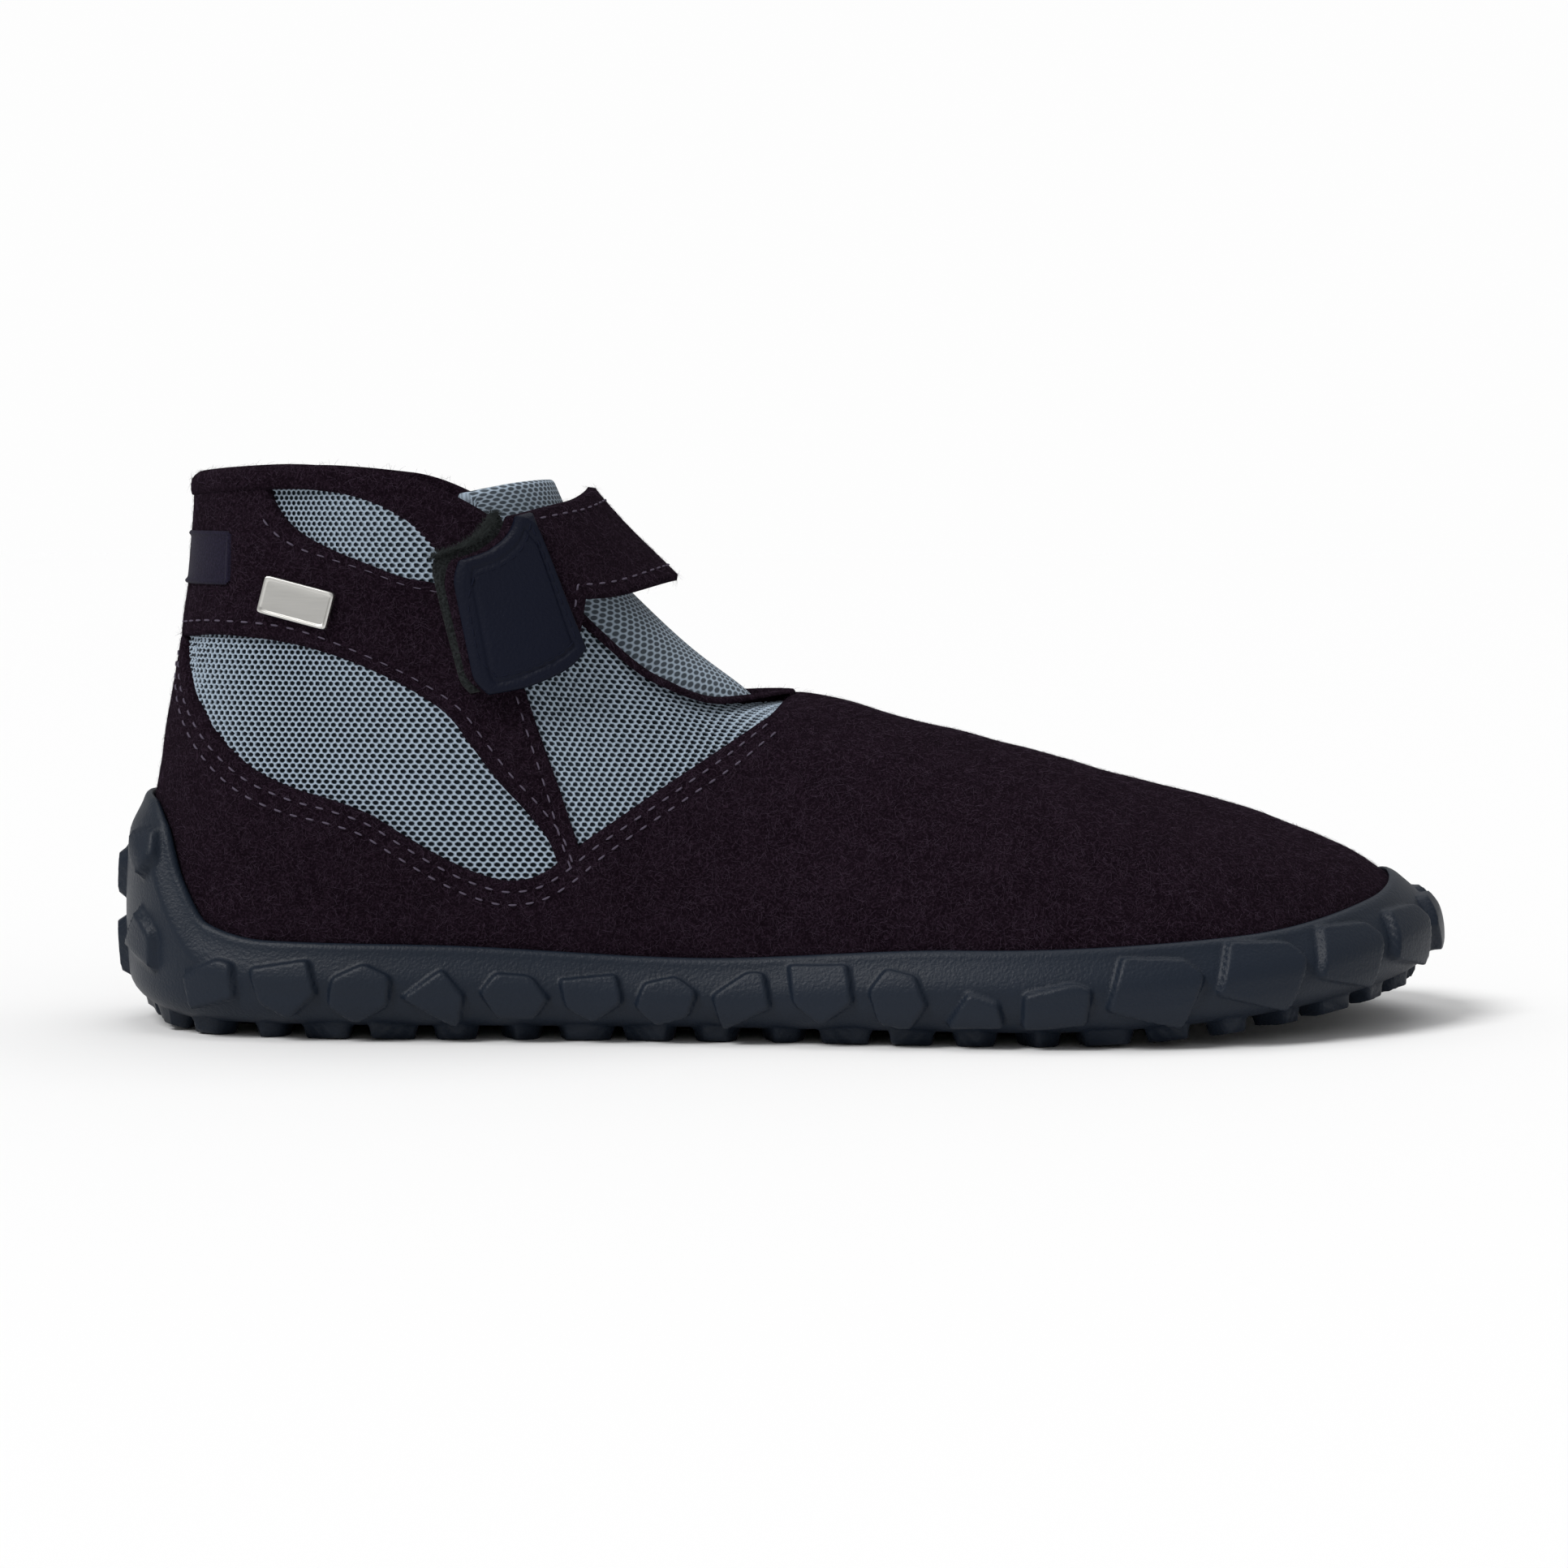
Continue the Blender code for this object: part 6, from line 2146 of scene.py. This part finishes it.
@dataclass
class Trim:
    """Heel patch, badge and stitches."""

    shop: Workshop
    finishes: Finishes
    patch_length: float = 0.0370
    patch_height: float = 0.0078
    patch_middle: float = 0.0672
    patch_thickness: float = 0.0008
    patch_corner: float = 0.0012
    patch_stretch: float = 1.28
    badge_length: float = 0.0104
    badge_height: float = 0.0054
    badge_thickness: float = 0.0009
    badge_tilt: float = -14.0
    badge_place: tuple[float, float] = (0.141, 0.777)

    def patch(self) -> None:
        """Patch on the back of the heel: a plate with a raised rim and rounded ends."""
        last = self.shop.last
        along = np.linspace(-0.5, 0.5, 150)[None, :]
        up = np.linspace(-0.5, 0.5, 44)[:, None]
        length, height = self.patch_length * along + 0 * up, self.patch_height * up + 0 * along
        corner = self.patch_corner
        half = np.array((self.patch_length, self.patch_height)) / 2
        inner = half - corner
        past = [np.clip(np.abs(way) - end, 0, None) for way, end in zip((length, height), inner)]
        excess = np.hypot(*past)
        scale = corner / np.maximum(excess, 1e-9)
        length, height = (
            np.where(excess > corner, np.sign(way) * (end + over * scale), way)
            for way, end, over in zip((length, height), inner, past)
        )
        rim = np.minimum(half[0] - np.abs(length), half[1] - np.abs(height))
        walk = np.mod(2 - length * self.patch_stretch / last.way[0], 2.0)
        rise = last.rise_at_height(walk, self.patch_middle + height)
        lift = 0.00035 * np.exp(-(((rim - 0.0005) / 0.00032) ** 2)) + 0.00015
        lift = np.where(rim < 0.00012, -self.patch_thickness, lift)
        points = last.upper_point(walk, rise, lift)
        piece = self.shop.grid("bare_patch", points, self.finishes.patch)
        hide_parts("heel_patch")

    def badge(self) -> None:
        """Metal plate with a raised rim, from rounded rectangles of falling size."""
        last = self.shop.last
        place = np.array(self.badge_place) * (last.sizes.length, last.sizes.collar_height)
        walk, rise = last.side_place(place[0], place[1], Side.OUTER)
        point = last.upper_point(walk, rise)
        ahead = last.upper_point(*last.side_place(place[0] + 0.002, place[1], Side.OUTER)) - point
        above = last.upper_point(walk, rise + 0.02) - point
        out = unit(np.cross(ahead, above))
        ahead = unit(ahead)
        level = np.cross(out, ahead)
        tilt = math.radians(self.badge_tilt)
        long_way = math.cos(tilt) * ahead + math.sin(tilt) * level
        high_way = np.cross(out, long_way)
        half = np.array((self.badge_length, self.badge_height)) / 2
        thick = self.badge_thickness
        # Columns: inset from the rim, share of the thickness.
        loops = (
            (0.0, 0.0),
            (0.0, 0.70),
            (0.00006, 0.90),
            (0.00018, 1.0),
            (0.00034, 1.0),
            (0.00044, 0.92),
            (0.00050, 0.76),
            (0.00062, 0.74),
        )
        angle = np.linspace(0, 2 * math.pi, 96, endpoint=False)
        power = 16.0
        radius = (np.abs(np.cos(angle)) ** power + np.abs(np.sin(angle)) ** power) ** (-1 / power)
        rings = []
        for inset, level_share in loops:
            size = half - inset
            a, b = radius * np.cos(angle) * size[0], radius * np.sin(angle) * size[1]
            height = last.sizes.gap + thick * level_share
            rings.append(point + a[:, None] * long_way + b[:, None] * high_way + height * out)
        middle = rings[-1].mean(axis=0)
        rings.append(middle + (rings[-1] - middle) * 0.5)
        rings.append(np.repeat(middle[None], len(angle), axis=0))
        piece = self.shop.grid("metal_badge", np.array(rings), self.finishes.nickel, closed=True)
        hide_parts("badge")

    def on_felt(self, places: Array, side: Side, lift: float) -> tuple[Array, Array]:
        """Points above the felt and their normals.

        Args:
            places: Share and rise of each.
            side: Side of the foot.
            lift: Distance off the felt.

        Returns:
            Points and normals.
        """
        walk, rise = Last.walk_of(places[:, 0], side), places[:, 1]
        point, above = (self.shop.last.upper_point(walk, rise, lift + more) for more in (0.0, MILLIMETRE))
        return point, (above - point) / MILLIMETRE

    def seam(self, places: Array, side: Side, inset: float, lift: float = 0.00012) -> tuple[Array, Array]:
        """Path beside a felt edge: the edge moved sideways on the surface by an inset.

        Args:
            places: Share and rise along the edge.
            side: Side of the foot.
            inset: Distance from the edge, to the left of its direction.
            lift: Distance off the felt.

        Returns:
            Points of the seam and their normals.
        """
        point, normal = self.on_felt(places, side, lift)
        across = np.cross(normal, unit(np.gradient(point, axis=0)))
        step = 1e-3
        slopes = [
            (self.on_felt(places + np.array(move), side, lift)[0] - point) / step
            for move in ((step, 0.0), (0.0, step))
        ]
        target = across * inset * (1 if side is Side.OUTER else -1)
        move = np.einsum("nij,nj->ni", np.linalg.pinv(np.stack(slopes, axis=-1)), target)
        return self.on_felt(places + move, side, lift)

    def build(self, upper: Upper) -> None:
        """Builds patch, badge and the stitch rows."""
        self.patch()
        self.badge()
        for side in Side:
            tag = side.name.lower()
            foot = upper.edge_places(FOOT_EDGE, 300, side)
            band_low = upper.edge_places(BAND_LOWER_EDGE, 260, side)
            band_high = upper.edge_places(BAND_UPPER_EDGE, 260, side)[10:]
            rows = (
                ("foot_near", foot, -0.0016),
                ("foot_far", foot, -0.0036),
                ("band_low", band_low, 0.0022),
                ("band_high", band_high, -0.0026),
            )
            for label, places, inset in rows:
                path, normal = self.seam(places, side, inset)
                piece = stitch_row(self.shop, f"stitches_{label}_{tag}", path, normal, self.finishes.thread)


@dataclass
class Fuzz:
    """Loose fibres that stand off the cloth: thin bent ribbons strewn evenly over its faces."""

    shop: Workshop
    seed: int = 11
    root_depth: float = 0.00004

    def grow(
        self,
        name: str,
        faces: Array,
        count: int,
        reach: tuple[float, float],
        width: float,
        stand: float,
        material: Material,
    ) -> Piece:
        """Strews fibres over cells.

        Each starts at a random place of a cell, chosen by area, runs off in a random direction along
        the cloth, leans up by "stand" and bends sideways on the way.

        Args:
            name: Name of the piece.
            faces: Corners of the cells.
            count: Number of fibres.
            reach: Shortest and longest fibre.
            width: Width of a fibre at its root.
            stand: How steeply they stand, as a share of their length.
            material: Fibre.

        Returns:
            The new object.
        """
        rng = np.random.default_rng(self.seed)
        a, b, c, d = (faces[:, k] for k in range(4))
        square = np.cross(c - a, d - b)
        area = np.linalg.norm(square, axis=1)
        chosen = rng.choice(len(faces), count, p=area / area.sum())
        s, t = rng.random((2, count, 1))
        root = (a[chosen] * (1 - s) + b[chosen] * s) * (1 - t) + (d[chosen] * (1 - s) + c[chosen] * s) * t
        out = square[chosen] / area[chosen][:, None]
        first = unit(np.cross(out, rng.normal(size=(count, 3))))
        second = np.cross(out, first)
        length = rng.uniform(*reach, (count, 1))
        lean = stand * rng.uniform(0.1, 1.0, (count, 1))
        bend = rng.normal(0, 0.45, (count, 1))
        way = np.linspace(0, 1, 3)[:, None, None]
        rise = 1.6 * way - 0.6 * way**2
        middle = root + length * (first * way + second * bend * way**2 + out * lean * rise)
        middle = middle - out * self.root_depth
        half = 0.5 * width * (1 - 0.6 * way) * (second + 0.4 * out)
        points = np.stack([middle - half, middle + half], axis=1)
        index = np.arange(6 * count).reshape(3, 2, count)
        quads = np.stack([index[:-1, 0], index[:-1, 1], index[1:, 1], index[1:, 0]], axis=-1)
        return self.shop.piece(name, points, quads, material)


@dataclass
class Studio:
    """Floor, soft light and the photograph's camera.

    Attributes:
        low: Lowest corner of the shoe's box.
        high: Highest corner of it.
        ambient: How bright the walls light the shoe.
        backdrop: How bright they show.
        elevation: Tilt of the camera in degrees.
        fill: Share of the frame's width that the shoe fills.
        floor_half: Half the floor's width.
    """

    low: Array
    high: Array
    ambient: float = 0.42
    backdrop: float = 0.985
    elevation: float = 4.0
    fill: float = 0.88
    floor_half: float = 4.0

    def camera(self) -> None:
        """Aims a long lens at the shoe's outer side, from just above its level."""
        data = bpy.data.cameras.new("camera")
        data.lens = 100.0
        data.sensor_width = 36.0
        width = self.high[0] - self.low[0]
        distance = width / self.fill * data.lens / data.sensor_width
        tilt = math.radians(self.elevation)
        target = np.array((0.0, self.low[1] * 0.6, 0.45 * self.high[2]))
        toward = np.array((0.0, -math.cos(tilt), math.sin(tilt)))
        camera = bpy.data.objects.new("camera", data)
        camera.location = Vector(target + toward * distance)
        camera.rotation_euler = Vector(-toward).to_track_quat("-Z", "Y").to_euler()
        bpy.context.scene.collection.objects.link(camera)
        bpy.context.scene.camera = camera

    def sun(self, name: str, place: tuple[float, float, float], strength: float, spread: float) -> None:
        """Adds a broad far light that shines from a place towards the shoe.

        Args:
            name: Name of the light.
            place: Place that it shines from.
            strength: Its strength.
            spread: Its width in degrees.
        """
        data = bpy.data.lights.new(name, "SUN")
        data.energy = strength
        data.angle = math.radians(spread)
        lamp = bpy.data.objects.new(name, data)
        lamp.location = place
        lamp.rotation_euler = (Vector((0, 0, 0.03)) - Vector(place)).to_track_quat("-Z", "Y").to_euler()
        bpy.context.scene.collection.objects.link(lamp)

    def surroundings(self) -> None:
        """Sets a white backdrop that lights the shoe less than it shows, as dark studio walls would."""
        world = bpy.data.worlds.new("studio")
        bpy.context.scene.world = world
        world.use_nodes = True
        nodes, links = world.node_tree.nodes, world.node_tree.links
        ray = nodes.new("ShaderNodeLightPath")
        strength = nodes.new("ShaderNodeMapRange")
        strength.inputs["To Min"].default_value = self.ambient
        strength.inputs["To Max"].default_value = self.backdrop
        links.new(ray.outputs["Is Camera Ray"], strength.inputs["Value"])
        nodes["Background"].inputs["Color"].default_value = (1.0, 1.0, 1.0, 1.0)
        links.new(strength.outputs["Result"], nodes["Background"].inputs["Strength"])

    def build(self) -> None:
        """Builds floor, world, lights and camera."""
        shader = Shader("pale_floor", 0.9)
        shader.colour((0.90, 0.90, 0.90))
        shader.set(Specular_IOR_Level=0.1)
        mesh = bpy.data.meshes.new("floor")
        half = self.floor_half
        corners = [(x * half, y * half, 0) for x, y in ((-1, -1), (1, -1), (1, 1), (-1, 1))]
        mesh.from_pydata(corners, [], [(0, 1, 2, 3)])
        mesh.materials.append(shader.material)
        floor = bpy.data.objects.new("floor", mesh)
        bpy.context.scene.collection.objects.link(floor)
        floor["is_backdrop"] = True
        self.surroundings()
        self.sun("key", (-0.50, -0.45, 0.80), 1.95, 26.0)
        self.sun("top", (0.12, 0.20, 0.90), 0.75, 50.0)
        self.camera()
        view = bpy.context.scene.view_settings
        view.view_transform = "Standard"
        view.look = "None"


def frame_shift(last: Last) -> Array:
    """Shift from the last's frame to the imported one, from the upper's box in both.

    Args:
        last: The last.

    Returns:
        The shift.
    """
    walks = np.linspace(0, 2, 64, endpoint=False)
    points = last.upper_point(walks[None, :], np.linspace(0, 1, 200)[:, None])
    low, high = points.min(axis=(0, 1)), points.max(axis=(0, 1))
    box_low, box_high = (np.array(corner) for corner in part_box("upper"))
    middle = (box_low + box_high) / 2 - (low + high) / 2
    return np.array((middle[0], middle[1], 0.0))


def main() -> None:
    """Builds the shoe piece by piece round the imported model."""
    logging.basicConfig(level=logging.INFO, format="%(name)s: %(message)s")
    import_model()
    packed = [list(map(float, corner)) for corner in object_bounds()]
    last = Last(Sizes())
    shop = Workshop(last, frame_shift(last))
    LOG.info("shift %s", shop.shift)
    finishes = Finishes()
    Outsole(shop, finishes).build()
    upper = Upper(shop, finishes)
    upper.build()
    Inside(shop, finishes).build()
    Closure(shop, finishes).build()
    Trim(shop, finishes).build(upper)
    felt = np.concatenate(shop.felt_faces)
    fibres = Fuzz(shop).grow("wool_fibres", felt, 46000, (0.0005, 0.0017), 0.000036, 0.26, finishes.fibre)
    Studio(np.array(packed[0]), np.array(packed[1])).build()


if __name__ == "__main__":
    main()
